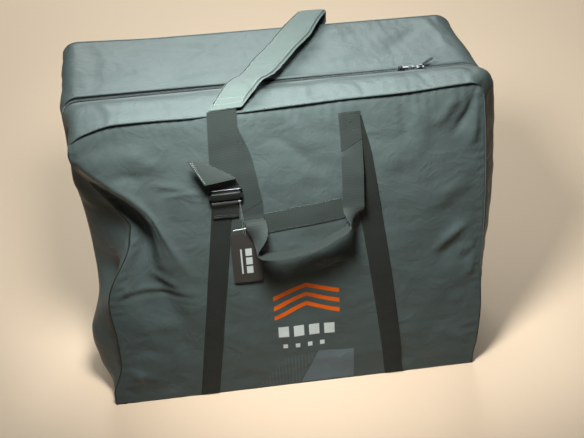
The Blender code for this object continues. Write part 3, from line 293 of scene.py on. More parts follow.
def back_relief(x, z):
    """The same for the back panel, with its own slow rumple."""
    edge = np.minimum(HALF_W - np.abs(x), np.minimum(BAG_H - z, z))
    fine = 0.0016 * rumple(x, z, 11) + 0.0006 * rumple(x, z, 12, 0.04)
    return ease(0.004, 0.045, edge) * fine + 0.0008 * seam_pucker(x, BAG_H - z, 0.019, 0.040)

# %% Top and sides
def top_relief(x, y):
    """The same for the top: still beside the zip, rumpled behind it, gathered at the seams."""
    calm = ease(0.007, 0.040, np.abs(y - ZIP_Y)) * ease(0.002, 0.020, HALF_D - np.abs(y))
    from_hem = np.abs(y - ZIP_Y) - HEM
    hem = 0.0012 * bell((from_hem - 0.0040) / 0.0030) - 0.0008 * bell((from_hem - 0.0105) / 0.0022)
    fine = 0.0016 * rumple(x, y, 21) + 0.0005 * rumple(x, y, 22, 0.030)
    gather = 0.0007 * seam_pucker(x, HALF_D - np.abs(y), 0.021, 0.025)
    return calm * (fine + fold_field(x, y, TOP_FOLDS)) + gather + hem


def side_relief(y, z, left):
    """The same for the two sides."""
    calm = ease(0.007, 0.030, np.abs(y - ZIP_Y)) * ease(0.002, 0.020, HALF_D - np.abs(y))
    fine = 0.0022 * rumple(y, z, 31, 0.08) + 0.0006 * rumple(y, z, 32, 0.03)
    other = 0.0020 * rumple(y, z, 41, 0.08) + 0.0006 * rumple(y, z, 42, 0.03)
    gather = 0.0008 * seam_pucker(z, HALF_D - np.abs(y), 0.021, 0.022)
    return calm * np.where(left, fine, other) + gather

# %% [markdown]
# ## The drape
# A seam pulls the cloth in, and the cloth beside it rolls over it. On the real bag the top rolls forward
# over the front seam, the lower left edge pinches to a tip where the hanging fold ends, and the right front
# edge is rolled inward. `drape` adds these to the slump, and then the relief of the side a point is on.

# %% Sizes of the rolls and tucks
SKIN = 0.0032
LIP_UP, LIP_OUT, LIP_FROM, LIP_WIDTH = 0.0030, 0.0088, 0.0034, 0.0095
RECESS = 0.0024
SEAM_TIP_Z, TIP_HEIGHT, TIP_IN, TIP_TUCK, LOW_SEAM_TUCK = 0.462, 0.016, 0.0070, 0.0040, 0.0045
RIGHT_TUCK, RIGHT_ROLL, RIGHT_HEIGHTS = 0.0105, 0.0060, (0.18, 0.42)
# the shoulder web holds the roll down over this half width
HELD_WIDTH = 0.045

# %% Rolls and tucks beside the seams
def seam_rolls(points):
    """(dx, dy, dz) of the top's lip, the panel's recess under it, the left tip and the rolled right edge."""
    x, inward, z = points[..., 0], points[..., 1] + HALF_D, points[..., 2]
    u, w = x / HALF_W, z / BAG_H
    front = ease(0.965, 0.985, 1.0 - inward / HALF_D)
    on_gusset, on_panel = inward > SKIN, inward < SKIN
    held = 1.0 - 0.75 * bell((x - SHOULDER_X) / HELD_WIDTH)
    lip = ease(0.972, 0.994, w) * (w < 1.003) * on_gusset * bell((inward - LIP_FROM) / LIP_WIDTH)
    lip = lip * (0.88 + 0.12 * np.sin(x * 37.0)) * held
    recess = ease(0.975, 1.0, w) * front * on_panel * held
    low_left = ease(0.965, 0.985, -u) * ease(0.0, 0.03, w) * (1.0 - ease(0.62, 0.70, w))
    tip = bell((z - SEAM_TIP_Z) / TIP_HEIGHT)
    panel_edge = (1.0 - ease(0.0012, 0.0100, x + HALF_W)) * front * on_panel
    near_seam = on_gusset * (1.0 - ease(0.0045, 0.0150, inward))
    upper = ease(*RIGHT_HEIGHTS, w)
    tuck = ease(0.90, 1.0, u) * (1.0 - ease(0.002, 0.034, np.maximum(inward, 0.0))) * upper
    roll = ease(0.975, 1.0, u) * on_gusset * bell((inward - 0.010) / 0.011) * upper
    dx = TIP_IN * tip * panel_edge + (LOW_SEAM_TUCK + TIP_TUCK * tip) * low_left * near_seam
    dy = RECESS * recess - LIP_OUT * lip - RIGHT_ROLL * roll
    return np.stack([dx - RIGHT_TUCK * tuck, dy, LIP_UP * lip], axis=-1)

# %% The relief of the side that each point is on
def relief(points):
    """(dx, dy, dz) of the fine folds, along the outward normal of the side of the box."""
    x, y, z = points[..., 0], points[..., 1], points[..., 2]
    u, v, w = x / HALF_W, y / HALF_D, z / BAG_H
    front, back, high = ease(0.965, 0.985, -v), ease(0.965, 0.985, v), ease(0.960, 0.985, w)
    close = 1.0 - ease(0.016, 0.034, np.abs(y) - HALF_D)
    middle = (1.0 - front) * (1.0 - back)
    side = middle * ease(0.965, 0.985, np.abs(u)) * (1.0 - high)
    off = ease(0.0, 0.05, w)
    zc = np.clip(z, 0.0, BAG_H)
    dx = off * side * np.sign(u) * side_relief(y, zc, u < 0.0)
    dy = off * close * (back * back_relief(x, zc) - front * front_relief(x, zc))
    return np.stack([dx, dy, middle * high * top_relief(x, y)], axis=-1)

# %% From the neat box to the place in the scene
def drape(points):
    """p' = slump(p) + rolls(p) + relief(p)."""
    points = np.asarray(points, float)
    return slump(points) + seam_rolls(points) + relief(points)


def half_turn(points):
    """The back of the bag repeats the front, turned half a turn about Z."""
    return np.asarray(points, float) * np.array([-1.0, -1.0, 1.0])


moved = np.linalg.norm(drape([0.0, -HALF_D, 0.5 * BAG_H]) - np.array([0.0, -HALF_D, 0.5 * BAG_H]))
print("drape: the middle of the front moves", round(1000 * float(moved), 1), "mm")

# %% [markdown]
# ## Helpers for materials
# A material is a small graph of nodes, and written out node by node it hides what it does. These helpers
# add one node each, so that the recipes below read like a list of steps. All patterns are procedural: they
# are worked out by the shader from a place, and no picture is loaded.

# %% A Principled material, and single nodes
def new_material(name, colour, roughness, metallic=0.0, sheen=0.0, specular=0.5):
    """A Principled material with its tree and shader, ready for a few more nodes."""
    mat = bpy.data.materials.new(name)
    mat.use_nodes = True
    shader = mat.node_tree.nodes["Principled BSDF"]
    shader.inputs["Base Color"].default_value = (*colour, 1.0)
    shader.inputs["Roughness"].default_value = roughness
    shader.inputs["Metallic"].default_value = metallic
    shader.inputs["Sheen Weight"].default_value = sheen
    shader.inputs["Specular IOR Level"].default_value = specular
    return mat, mat.node_tree, shader


def node(tree, kind, links=(), **values):
    """Add one node; values set its inputs by name, links join sockets to them."""
    made = tree.nodes.new(kind)
    for key, value in values.items():
        made.inputs[key.replace("_", " ")].default_value = value
    for name, socket in links:
        tree.links.new(socket, made.inputs[name])
    return made


def calc(tree, operation, a, b=None):
    """One number from two numbers or sockets."""
    made = tree.nodes.new("ShaderNodeMath")
    made.operation = operation
    for slot, value in ((0, a), (1, b)):
        if value is None:
            continue
        if isinstance(value, (int, float)):
            made.inputs[slot].default_value = value
        else:
            tree.links.new(value, made.inputs[slot])
    return made.outputs[0]


def mix_colour(tree, share, first, second):
    """Colour = first * (1 - share) + second * share; first and second are sockets or RGB."""
    made = tree.nodes.new("ShaderNodeMix")
    made.data_type = "RGBA"
    if isinstance(share, (int, float)):
        made.inputs[0].default_value = share
    else:
        tree.links.new(share, made.inputs[0])
    for slot, value in ((6, first), (7, second)):
        if isinstance(value, tuple):
            made.inputs[slot].default_value = (*value, 1.0)
        else:
            tree.links.new(value, made.inputs[slot])
    return made.outputs[2]

# %% [markdown]
# ## Woven threads
# Cloth and webbing are crossing threads, too fine to model: a bump of two sines gives them, on each piece's
# own UV map in metres, so that the threads keep their size and follow the piece. Coated cloth also cracks
# into fine ridges where it has been folded, which is the absolute value of a noise.

# %% Weave and mottle
def weave(tree, shader, u_pitch, v_pitch, depth, grain, crinkle=0.0):
    """Bump of crossing threads, |sin(pi u / pu)| |sin(pi v / pv)|, with grain and ridges 0.5 - |n - 0.5|."""
    place = tree.nodes.new("ShaderNodeUVMap").outputs[0]
    split = node(tree, "ShaderNodeSeparateXYZ", [("Vector", place)])
    waves = []
    for socket, pitch in ((split.outputs[0], u_pitch), (split.outputs[1], v_pitch)):
        wave = calc(tree, "SINE", calc(tree, "MULTIPLY", socket, math.pi / pitch))
        waves.append(calc(tree, "ABSOLUTE", wave))
    threads = calc(tree, "MULTIPLY", waves[0], waves[1])
    noise = node(tree, "ShaderNodeTexNoise", [("Vector", place)], Scale=420.0, Detail=3.0)
    height = calc(tree, "ADD", threads, calc(tree, "MULTIPLY", noise.outputs[0], grain))
    bump = node(tree, "ShaderNodeBump", [("Height", height)], Strength=depth, Distance=0.0004)
    if crinkle:
        for scale, rise in ((11.0, 0.0030), (31.0, 0.0011)):
            cloud = node(tree, "ShaderNodeTexNoise", [("Vector", place)], Scale=scale, Detail=2.0,
                         Distortion=1.4)
            off_middle = calc(tree, "ABSOLUTE", calc(tree, "SUBTRACT", cloud.outputs[0], 0.5))
            ridge = calc(tree, "SUBTRACT", 0.5, off_middle)
            bump = node(tree, "ShaderNodeBump", [("Height", ridge), ("Normal", bump.outputs[0])],
                        Strength=crinkle, Distance=rise * 6)
    tree.links.new(bump.outputs[0], shader.inputs["Normal"])
    return place, threads


def mottle(tree, place, dark, light, scale=9.0):
    """Two tones of one cloth in slow clouds."""
    noise = node(tree, "ShaderNodeTexNoise", [("Vector", place)], Scale=scale, Detail=4.0, Roughness=0.6)
    return mix_colour(tree, noise.outputs[0], dark, light)

# %% [markdown]
# ## Cloth and webbing
# The bag's cloth is a dull grey green with a thin coating, so it is a little shiny and hardly varies. The
# webbing is darker, matt and ribbed across. Each finish is one function of its two tones, because the same
# webbing gets paler copies for the hand loops and the shoulder strap. The loops' paler tone is painted light
# that falls on the hanging loops.

# %% Cloth
CLOTH = ((0.056, 0.073, 0.070), (0.075, 0.097, 0.093))
CLOTH_THREAD = 0.0011


def cloth_material(name, tones):
    """Coated woven cloth: fine threads, creases, and two tones in slow clouds."""
    mat, tree, shader = new_material(name, tones[0], 0.42, specular=0.22)
    place, _ = weave(tree, shader, CLOTH_THREAD, CLOTH_THREAD, depth=0.25, grain=0.8, crinkle=0.20)
    colour = mottle(tree, place, *tones)
    tree.links.new(colour, shader.inputs["Base Color"])
    return mat, tree, shader, place, colour


CLOTH_MAT = cloth_material("coated_cloth", CLOTH)[0]
print("cloth:", CLOTH_THREAD * 1000, "mm between threads")

# %% Webbing
WEBBING = ((0.007, 0.008, 0.007), (0.021, 0.025, 0.022))
RIB, WEB_THREAD = 0.0034, 0.0017


def web_material(name, tones):
    """Ribbed webbing: ribs across it, fine threads along it."""
    mat, tree, shader = new_material(name, tones[0], 0.62, sheen=0.05, specular=0.2)
    place, threads = weave(tree, shader, RIB, WEB_THREAD, depth=0.60, grain=0.4)
    shade = mix_colour(tree, threads, tones[0], tones[1])
    clouds = mottle(tree, place, *tones, scale=14.0)
    tree.links.new(mix_colour(tree, 0.35, shade, clouds), shader.inputs["Base Color"])
    return mat


WEB_MAT = web_material("ribbed_webbing", WEBBING)
# a paler copy of the webbing: painted light on the hand loops
LOOP_WEB_MAT = web_material("loop_webbing", ((0.018, 0.023, 0.021), (0.046, 0.057, 0.052)))
PALE_WEB_MAT = web_material("shoulder_webbing", ((0.022, 0.029, 0.026), (0.056, 0.068, 0.062)))
PAD_MAT = web_material("pad_cloth", ((0.060, 0.080, 0.073), (0.112, 0.142, 0.131)))
print("webbing: a rib every", RIB * 1000, "mm, in four tones")

# %% [markdown]
# ## The print
# The front of the real bag is printed. Its words and marks aren't copied: plain peaks, blocks, a shield and
# stripes of about the same size and colour stand in their place. A picture on the cloth would be the usual
# way. Polygons worked out in the shader are used, because they stay sharp at any distance and need no file.

# %% A convex shape as a mask
EDGE_SHARPNESS = 2500.0


def within(tree, place, corners):
    """1 inside a convex polygon of the cloth's own plane, by one half plane for each edge."""
    split = node(tree, "ShaderNodeSeparateXYZ", [("Vector", place)])
    inside = None
    for (x0, z0), (x1, z1) in zip(corners, corners[1:] + corners[:1]):
        run = math.hypot(x1 - x0, z1 - z0)
        nx, nz = (z0 - z1) / run, (x1 - x0) / run
        from_x = calc(tree, "MULTIPLY", split.outputs[0], nx)
        from_z = calc(tree, "MULTIPLY", split.outputs[1], nz)
        side = calc(tree, "SUBTRACT", calc(tree, "ADD", from_x, from_z), x0 * nx + z0 * nz)
        inside = side if inside is None else calc(tree, "MINIMUM", inside, side)
    sharp = calc(tree, "MULTIPLY", inside, EDGE_SHARPNESS)
    return node(tree, "ShaderNodeClamp", [("Value", sharp)]).outputs[0]


def any_of(tree, place, shapes):
    """1 where at least one of the polygons covers the place: the largest of their masks."""
    masks = [within(tree, place, shape) for shape in shapes]
    cover = masks[0]
    for mask in masks[1:]:
        cover = calc(tree, "MAXIMUM", cover, mask)
    return cover


def bar(x0, z0, x1, z1, thick):
    """Four corners, counter-clockwise, of a bar with upright ends from (x0, z0) to (x1, z1)."""
    return [(x0, z0), (x1, z1), (x1, z1 + thick), (x0, z0 + thick)]

# %% Where the shapes of the print lie, in metres on the panel
ORANGE, WHITE, GREY_BLUE = (0.82, 0.125, 0.006), (0.74, 0.77, 0.72), (0.150, 0.185, 0.200)
PEAK_RISE, PEAK_THICK = 0.026, 0.0115
PEAKS = []
for rise in (0.0, PEAK_RISE, 2 * PEAK_RISE):
    PEAKS.append(bar(-0.036, 0.196 + rise, 0.032, 0.226 + rise, PEAK_THICK))
    PEAKS.append(bar(0.032, 0.226 + rise, 0.100, 0.200 + rise, PEAK_THICK))
BLOCKS = []
for left in (-0.030, 0.002, 0.034, 0.066):
    foot = 0.146 - (left + 0.030) / 32
    BLOCKS.append(bar(left, foot, left + 0.022, foot, 0.030))
for left in (-0.022, 0.004, 0.030, 0.056):
    BLOCKS.append(bar(left, 0.112, left + 0.010, 0.112, 0.012))
SHIELD = [(0.012, 0.004), (0.127, 0.004), (0.127, 0.090), (0.052, 0.094)]
STRIPED = [(-0.082, 0.004), (0.008, 0.004), (0.046, 0.090), (-0.020, 0.084)]
STRIPE_PITCH = 0.0072
# width of the painted seam shade at each side edge of the front panel
SEAM_SHADE_WIDTH = 0.0026
print("print:", len(PEAKS), "peaks' sides,", len(BLOCKS), "blocks, a shield and stripes")

# %% The printed cloth
def printed_cloth(name):
    """The front panel's cloth with its plain print, and a dark band painted at either side as the seam's
    shade.
    """
    mat, tree, shader, place, colour = cloth_material(name, CLOTH)
    split = node(tree, "ShaderNodeSeparateXYZ", [("Vector", place)])
    lines = calc(tree, "SINE", calc(tree, "MULTIPLY", split.outputs[0], 2 * math.pi / STRIPE_PITCH))
    lines = calc(tree, "GREATER_THAN", lines, 0.2)
    zone = calc(tree, "MULTIPLY", calc(tree, "MULTIPLY", within(tree, place, STRIPED), lines), 0.28)
    colour = mix_colour(tree, zone, colour, GREY_BLUE)
    colour = mix_colour(tree, calc(tree, "MULTIPLY", within(tree, place, SHIELD), 0.85), colour, GREY_BLUE)
    for shapes, ink in ((PEAKS, ORANGE), (BLOCKS, WHITE)):
        colour = mix_colour(tree, any_of(tree, place, shapes), colour, ink)
    # painted shade: a near-black band along both side edges stands in for the shadow in the seam's groove
    seam = calc(tree, "GREATER_THAN", calc(tree, "ABSOLUTE", split.outputs[0]), HALF_W - SEAM_SHADE_WIDTH)
    colour = mix_colour(tree, calc(tree, "MULTIPLY", seam, 0.85), colour, (0.006, 0.007, 0.007))
    tree.links.new(colour, shader.inputs["Base Color"])
    return mat


PRINT_MAT = printed_cloth("printed_cloth")
print("printed cloth:", len(PRINT_MAT.node_tree.nodes), "nodes")

# %% [markdown]
# ## Plain finishes
# Tape, teeth, metal, plastic and thread have no pattern that shows at this distance. One function makes
# them all, with a little grain where the real surface isn't quite smooth. The nickel is dark, because what
# a metal shows is mostly the dark room round it.

# %% Tape, teeth, metal, plastic and thread
def plain(name, colour, roughness, metallic=0.0, grain=0.0, specular=0.5):
    """A plain material; grain roughens it a little."""
    mat, tree, shader = new_material(name, colour, roughness, metallic, specular=specular)
    if grain:
        spot = tree.nodes.new("ShaderNodeTexCoord").outputs["Object"]
        noise = node(tree, "ShaderNodeTexNoise", [("Vector", spot)], Scale=1600.0, Detail=2.0)
        bump = node(tree, "ShaderNodeBump", [("Height", noise.outputs[0])], Strength=grain, Distance=0.0002)
        tree.links.new(bump.outputs[0], shader.inputs["Normal"])
    return mat


# painted shade: near-black webbing for the wrap round the bar, which lies in the tail's shade; smoother than
# the rest
BAR_WRAP_SHADE_MAT = plain("bar_wrap_shaded_webbing", (0.008, 0.009, 0.008), 0.40, grain=0.25, specular=0.12)
# near black: the tape's own dark colour, made darker still as painted shade beside the hem of the slot
TAPE_MAT = plain("zip_tape", (0.004, 0.005, 0.005), 0.75, specular=0.05)
TOOTH_MAT = plain("zip_teeth", (0.070, 0.082, 0.080), 0.40)
METAL_MAT = plain("dark_nickel", (0.030, 0.031, 0.033), 0.34, 1.0, grain=0.05)
BRIGHT_MAT = plain("bright_nickel", (0.14, 0.145, 0.15), 0.30, 1.0, grain=0.1)
PLASTIC_MAT = plain("black_plastic", (0.010, 0.010, 0.010), 0.35, grain=0.2)
THREAD_MAT = plain("white_thread", (0.70, 0.71, 0.70), 0.6)
STITCH_MAT = plain("dark_thread", (0.018, 0.022, 0.020), 0.6)
PALE_STITCH_MAT = plain("grey_thread", (0.19, 0.22, 0.205), 0.6)
print("finishes:", len(bpy.data.materials), "materials so far")

# %% [markdown]
# ## Building blocks
# Every soft piece is a mesh made from arrays: its points, its faces and its UV map in metres. These helpers
# turn a grid of points into such a mesh. Blender's own primitives could be bent to shape with modifiers,
# but a grid laid out one by one has its edges exactly along the seams. Every mesh is closed, so the sign of
# its volume tells whether its faces point outwards, and one that is inside out is turned.

# %% Which way the faces of a closed mesh point
def signed_volume(mesh):
    """Sum of a . (b x c) / 6 over the triangles: the volume, and negative when the mesh is inside out."""
    mesh.calc_loop_triangles()
    corners = np.empty(len(mesh.loop_triangles) * 3, dtype=np.int32)
    mesh.loop_triangles.foreach_get("vertices", corners)
    points = np.empty(len(mesh.vertices) * 3)
    mesh.vertices.foreach_get("co", points)
    a, b, c = points.reshape(-1, 3)[corners].reshape(-1, 3, 3).transpose(1, 0, 2)
    return float((a * np.cross(b, c)).sum() / 6)

# %% A mesh object from arrays
def make(name, points, faces, mat, body, nodes=(), uv=None, sharp=38.0):
    """One closed mesh object, faces outwards, smooth but for edges over `sharp` degrees, riding on a body."""
    mesh = bpy.data.meshes.new(name)
    mesh.from_pydata([tuple(p) for p in np.asarray(points, float)], [], faces)
    if signed_volume(mesh) < 0.0:
        mesh.flip_normals()
    if uv is not None:
        corner = np.empty(len(mesh.loops), dtype=np.int32)
        mesh.loops.foreach_get("vertex_index", corner)
        layer = mesh.uv_layers.new(name="metres")
        layer.data.foreach_set("uv", np.asarray(uv, float)[corner].ravel())
    mesh.shade_smooth()
    mesh.set_sharp_from_angle(angle=math.radians(sharp))
    mesh.materials.append(mat)
    obj = bpy.data.objects.new(name, mesh)
    bpy.context.scene.collection.objects.link(obj)
    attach(obj, body)
    if nodes:
        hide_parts(*nodes)
    return obj

# %% Faces of grids and of closed tubes
def grid_faces(rows, columns, start=0, wrap=False, flip=False):
    """Quads of a grid of points stored row by row."""
    i, j = np.meshgrid(np.arange(rows - 1), np.arange(columns if wrap else columns - 1), indexing="ij")
    k = (j + 1) % columns
    a, b = start + i * columns + j, start + i * columns + k
    c, d = b + columns, a + columns
    quads = np.stack([a, d, c, b] if flip else [a, b, c, d], axis=-1)
    return quads.reshape(-1, 4).tolist()


def end_caps(rows, sides):
    """The first and the last ring of a tube of points, each closed by one face."""
    last = (rows - 1) * sides
    return [tuple(range(sides - 1, -1, -1)), tuple(range(last, last + sides))]


def copies(faces, count, size):
    """The same faces for each of count pieces, whose points follow one another, size at a time."""
    return [tuple(k + piece * size for k in face) for piece in range(count) for face in faces]

# %% A closed sheet of cloth
def shell(name, outer, inner, uv, mat, body, nodes=()):
    """A closed sheet of cloth between two grids of points of the box, carried by drape."""
    rows, columns = outer.shape[:2]
    count = rows * columns
    faces = grid_faces(rows, columns) + grid_faces(rows, columns, count, flip=True)
    rim = list(range(columns)) + [i * columns + columns - 1 for i in range(1, rows)]
    rim += [(rows - 1) * columns + j for j in range(columns - 2, -1, -1)]
    rim += [i * columns for i in range(rows - 2, 0, -1)]
    faces += [(b, a, a + count, b + count) for a, b in zip(rim, rim[1:] + rim[:1])]
    points = drape(np.concatenate([outer.reshape(-1, 3), inner.reshape(-1, 3)]))
    marks = np.concatenate([uv.reshape(-1, 2)] * 2)
    return make(name, points, faces, mat, body, nodes, marks)

# %% Paths and steps along them
def unit(vectors):
    """v / |v|."""
    vectors = np.asarray(vectors, float)
    return vectors / np.linalg.norm(vectors, axis=-1, keepdims=True)


def steps(low, high, pitch):
    """Even steps of about one pitch from low to high, both ends kept."""
    return np.linspace(low, high, max(2, int(round((high - low) / (pitch * FINE))) + 1))


def length_along(path):
    """Running length of a path of points."""
    return np.concatenate([[0.0], np.cumsum(np.linalg.norm(np.diff(path, axis=0), axis=1))])


def read_off(where, reach, table):
    """Rows of a table at some running lengths, straight between its own rows."""
    return np.stack([np.interp(where, reach, table[:, k]) for k in range(table.shape[1])], axis=1)


def resample(path, pitch, *more):
    """The path, and anything given with it, at even steps of about one pitch."""
    reach = length_along(path)
    even = steps(0.0, reach[-1], pitch)
    return [read_off(even, reach, np.asarray(table, float)) for table in (path,) + more]


def smooth_path(points, count):
    """A curve through the points (Catmull-Rom), read off at even steps along its length."""
    points = np.asarray(points, float)
    ends = np.vstack([2 * points[0] - points[1], points, 2 * points[-1] - points[-2]])
    curve = []
    for k in range(1, len(ends) - 2):
        p0, p1, p2, p3 = ends[k - 1:k + 3]
        for t in np.linspace(0.0, 1.0, 12, endpoint=False):
            curve.append(0.5 * (2 * p1 + (p2 - p0) * t + (2 * p0 - 5 * p1 + 4 * p2 - p3) * t ** 2
                                + (3 * p1 - p0 - 3 * p2 + p3) * t ** 3))
    curve.append(points[-1])
    curve = np.array(curve)
    reach = length_along(curve)
    return read_off(np.linspace(0.0, reach[-1], count), reach, curve)


print("a curve through three points:", smooth_path([(0, 0, 0), (1, 0, 1), (2, 0, 0)], 5).shape)

# %% [markdown]
# ## Webs and stitches
# Webbing is a flat band with a soft rim. A plane with Solidify would do, but its rim would be square. Here a
# ring of points runs round the web at every step, thinner near its edges. Each stitch is a short capsule of
# real thread, because at this size a seam drawn in the material would look flat.

# %% A web between two edges
WEB_T, WEB_LANES = 0.0016, 11
# stitches lie this far out from the middle of a web
ON_TOP = WEB_T / 2 + 0.0001


def web(name, left, right, face, mat, body, nodes=()):
    """A flat web between two edge paths: rows of points across, on both faces, with a soft rim.

    left, right: the web's edges in the neat box, row by row; face: its unit normal at each row.
    """
    lanes = np.linspace(0.0, 1.0, WEB_LANES)
    rim = 1.0 - 0.55 * bell((0.5 - np.abs(lanes - 0.5)) / 0.035)
    across = left[:, None, :] + (right - left)[:, None, :] * lanes[None, :, None]
    lift = face[:, None, :] * (WEB_T / 2) * rim[None, :, None]
    ring = np.concatenate([across - lift, (across + lift)[:, ::-1]], axis=1)
    rows, sides = ring.shape[:2]
    points = ring.reshape(-1, 3)
    faces = grid_faces(rows, sides, wrap=True) + end_caps(rows, sides)
    reach = length_along(0.5 * (left + right))
    wide = np.linalg.norm(right - left, axis=1)
    t = np.concatenate([lanes, lanes[::-1]])
    uv = np.stack([np.repeat(reach, sides), (wide[:, None] * t[None, :]).ravel()], axis=1)
    return make(name, drape(points), faces, mat, body, nodes, uv)

# %% A web along its middle line
def web_along(name, path, across, width, mat, body, nodes=(), pitch=0.004, back=False):
    """A web of even width along its middle line; across spans it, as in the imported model."""
    path = np.asarray(path, float)
    across = np.array(np.broadcast_to(np.asarray(across, float), path.shape))
    path, across = resample(path, pitch, across)
    along = unit(np.gradient(path, axis=0))
    face = unit(np.cross(along, across))
    left, right = path - across * width / 2, path + across * width / 2
    if back:
        left, right, face = half_turn(left), half_turn(right), half_turn(face)
    web(name, left, right, face, mat, body, nodes)
    return left, right, face

# %% Rows of stitches
STITCH_SHAPE = np.array([(-0.5, 0.25), (-0.36, 0.85), (0.0, 1.0), (0.36, 0.85), (0.5, 0.25)])
STITCH_SIDES = 6


def stitches(name, runs, mat, body, pitch=0.0042, long=0.0028, radius=0.00034):
    """Sewn threads: a short six-sided capsule at every pitch along each run of box points.

    runs: (points, outward normal) pairs, in the neat box.
    """
    turn = np.arange(STITCH_SIDES) * 2 * math.pi / STITCH_SIDES
    share, swell = STITCH_SHAPE[:, 0, None, None], STITCH_SHAPE[:, 1, None, None]
    rows = []
    for points, normal in runs:
        world = drape(np.asarray(points, float))
        reach = length_along(world)
        spots = np.arange(pitch / 2, reach[-1], pitch)
        centre = read_off(spots, reach, world)
        along = unit(read_off(spots + 0.001, reach, world) - read_off(spots - 0.001, reach, world))
        side = unit(np.cross(along, np.asarray(normal, float)))
        up = np.cross(side, along)
        ring = side[:, None, None] * np.cos(turn)[:, None] + up[:, None, None] * np.sin(turn)[:, None]
        capsule = centre[:, None, None] + along[:, None, None] * share * long + ring * radius * swell
        rows.append(capsule.reshape(-1, 3))
    points = np.concatenate(rows)
    rings, size = len(STITCH_SHAPE), len(STITCH_SHAPE) * STITCH_SIDES
    faces = grid_faces(rings, STITCH_SIDES, wrap=True) + end_caps(rings, STITCH_SIDES)
    make(name, points, copies(faces, len(points) // size, size), mat, body)
    print(name + ":", len(points) // size, "stitches")

# %% [markdown]
# ## The shell
# The bag is sewn from nine pieces of cloth: a front and a back panel, a gusset over the top and down both
# sides that the zip cuts in two, and a base. Panels are grids over (x, z), and gussets are bands over
# (length round the bag, y). All of them are closed sheets 3 mm thick, with their edges rolled in a little,
# so that a seam shows as a groove.

# %% Steps of the shell's grids
EDGE_ROLL, ROLL_REACH = 0.0011, 0.0045
GRID = 0.0042
SEAM_STEPS, FIRST_EVEN = (0.0, 0.0025, 0.005, 0.007), 0.0105
SHOULDER_Z = BAG_H - CORNER_R


def arc_angles():
    """Steps through a rounded top corner, without its start."""
    return np.linspace(math.acos(1.0 - FABRIC / CORNER_R), math.pi / 2, 10)


def side_heights():
    """Heights up a side: close together at the seam, then even."""
    return np.concatenate([SEAM_STEPS, steps(FIRST_EVEN, SHOULDER_Z - 2 * SEAM_GAP, GRID)])


def top_places():
    """Places across the top, between the rounded corners."""
    return steps(CORNER_R - HALF_W, HALF_W - CORNER_R, GRID)


print("grid:", len(side_heights()), "heights by", len(top_places()), "places across")

# %% The outline of the bag, seen from the front
def hoop(offset, foot=0.0, parts=("left", "top", "right")):
    """(x, z) of the bag's outline set in by offset: up the left, over the top, down the right."""
    heights = side_heights()
    heights = np.concatenate([[foot], heights[heights > foot + 1e-6]])
    radius, points = CORNER_R - offset, []
    arc = [(CORNER_R - radius * math.cos(a), SHOULDER_Z + radius * math.sin(a)) for a in arc_angles()]
    if "left" in parts:
        points += [(offset - HALF_W, z) for z in heights]
    if "top" in parts:
        points += [(offset - HALF_W, SHOULDER_Z)] + [(x - HALF_W, z) for x, z in arc]
        points += [(x, BAG_H - offset) for x in top_places()[1:-1]]
        points += [(HALF_W - x, z) for x, z in arc[::-1]] + [(HALF_W - offset, SHOULDER_Z)]
    if "right" in parts:
        points += [(HALF_W - offset, z) for z in heights[::-1]]
    return np.array(points)


print("outline:", round(float(length_along(hoop(0.0))[-1]), 3), "m round three sides")

# %% [markdown]
# ## Front and back panels
# The front panel carries the print, the folds and the straps. Its rim and its inner face are plain cloth,
# so the sheet gets a second material there: a print that went through would show when the bag is opened.

# %% A panel
HEAD_SHARES = np.array([0.0, 0.2, 0.4, 0.6, 0.75, 0.88, 0.95, 1.0])


def panel(name, y_outer, y_inner, mat, node_name, body):
    """The front or back panel over (x, z), its heads following the rounded top corners."""
    arc = [(CORNER_R * (1.0 - math.cos(a)), CORNER_R * math.sin(a)) for a in arc_angles()]
    corner = [(-HALF_W, SHOULDER_Z)] + [(x - HALF_W, SHOULDER_Z + z) for x, z in arc]
    heads = corner + [(x, BAG_H) for x in top_places()[1:-1]] + [(-x, z) for x, z in reversed(corner)]
    heads = np.array(heads)
    tops = heads[:, 1:]
    low = np.tile(side_heights(), (len(heads), 1))
    zs = np.concatenate([low, SHOULDER_Z + (tops - SHOULDER_Z) * HEAD_SHARES], axis=1)
    outer = np.stack([np.broadcast_to(heads[:, :1], zs.shape), np.full(zs.shape, y_outer), zs], axis=-1)
    inner = outer.copy()
    inner[..., 1] = y_inner
    edge = np.minimum(HALF_W - np.abs(outer[..., 0]), np.minimum(tops - outer[..., 2], outer[..., 2]))
    outer[..., 1] += (y_inner - y_outer) / FABRIC * EDGE_ROLL * (1.0 - ease(0.0, ROLL_REACH, edge))
    made = shell(name, outer, inner, outer[..., [0, 2]], mat, body, [node_name])
    if mat is not CLOTH_MAT:
        made.data.materials.append(CLOTH_MAT)
        outer_faces = (outer.shape[0] - 1) * (outer.shape[1] - 1)
        for polygon in made.data.polygons[outer_faces:]:
            polygon.material_index = 1
    print(name + ":", len(made.data.polygons), "faces")


panel("front_cloth", -HALF_D, FABRIC - HALF_D, PRINT_MAT, "front_panel", "front_cover")
panel("back_cloth", HALF_D, HALF_D - FABRIC, CLOTH_MAT, "back_panel", "rear_shell")

# %% [markdown]
# ## Gussets and base
# The gusset is the long strip that gives the bag its depth. The zip runs along it, so it is made as a front
# and a rear band in three parts each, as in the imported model. Below the zip's foot the two bands close on
# each other, and at the top left the hem gapes a little, where the pull of the strap opens it.

# %% One gusset
ZIP_CLOSED_Z, ZIP_FOOT_Z = 0.0435, 0.080
CLOSING_REACH, HEM_GAPE = 0.012, 0.0044


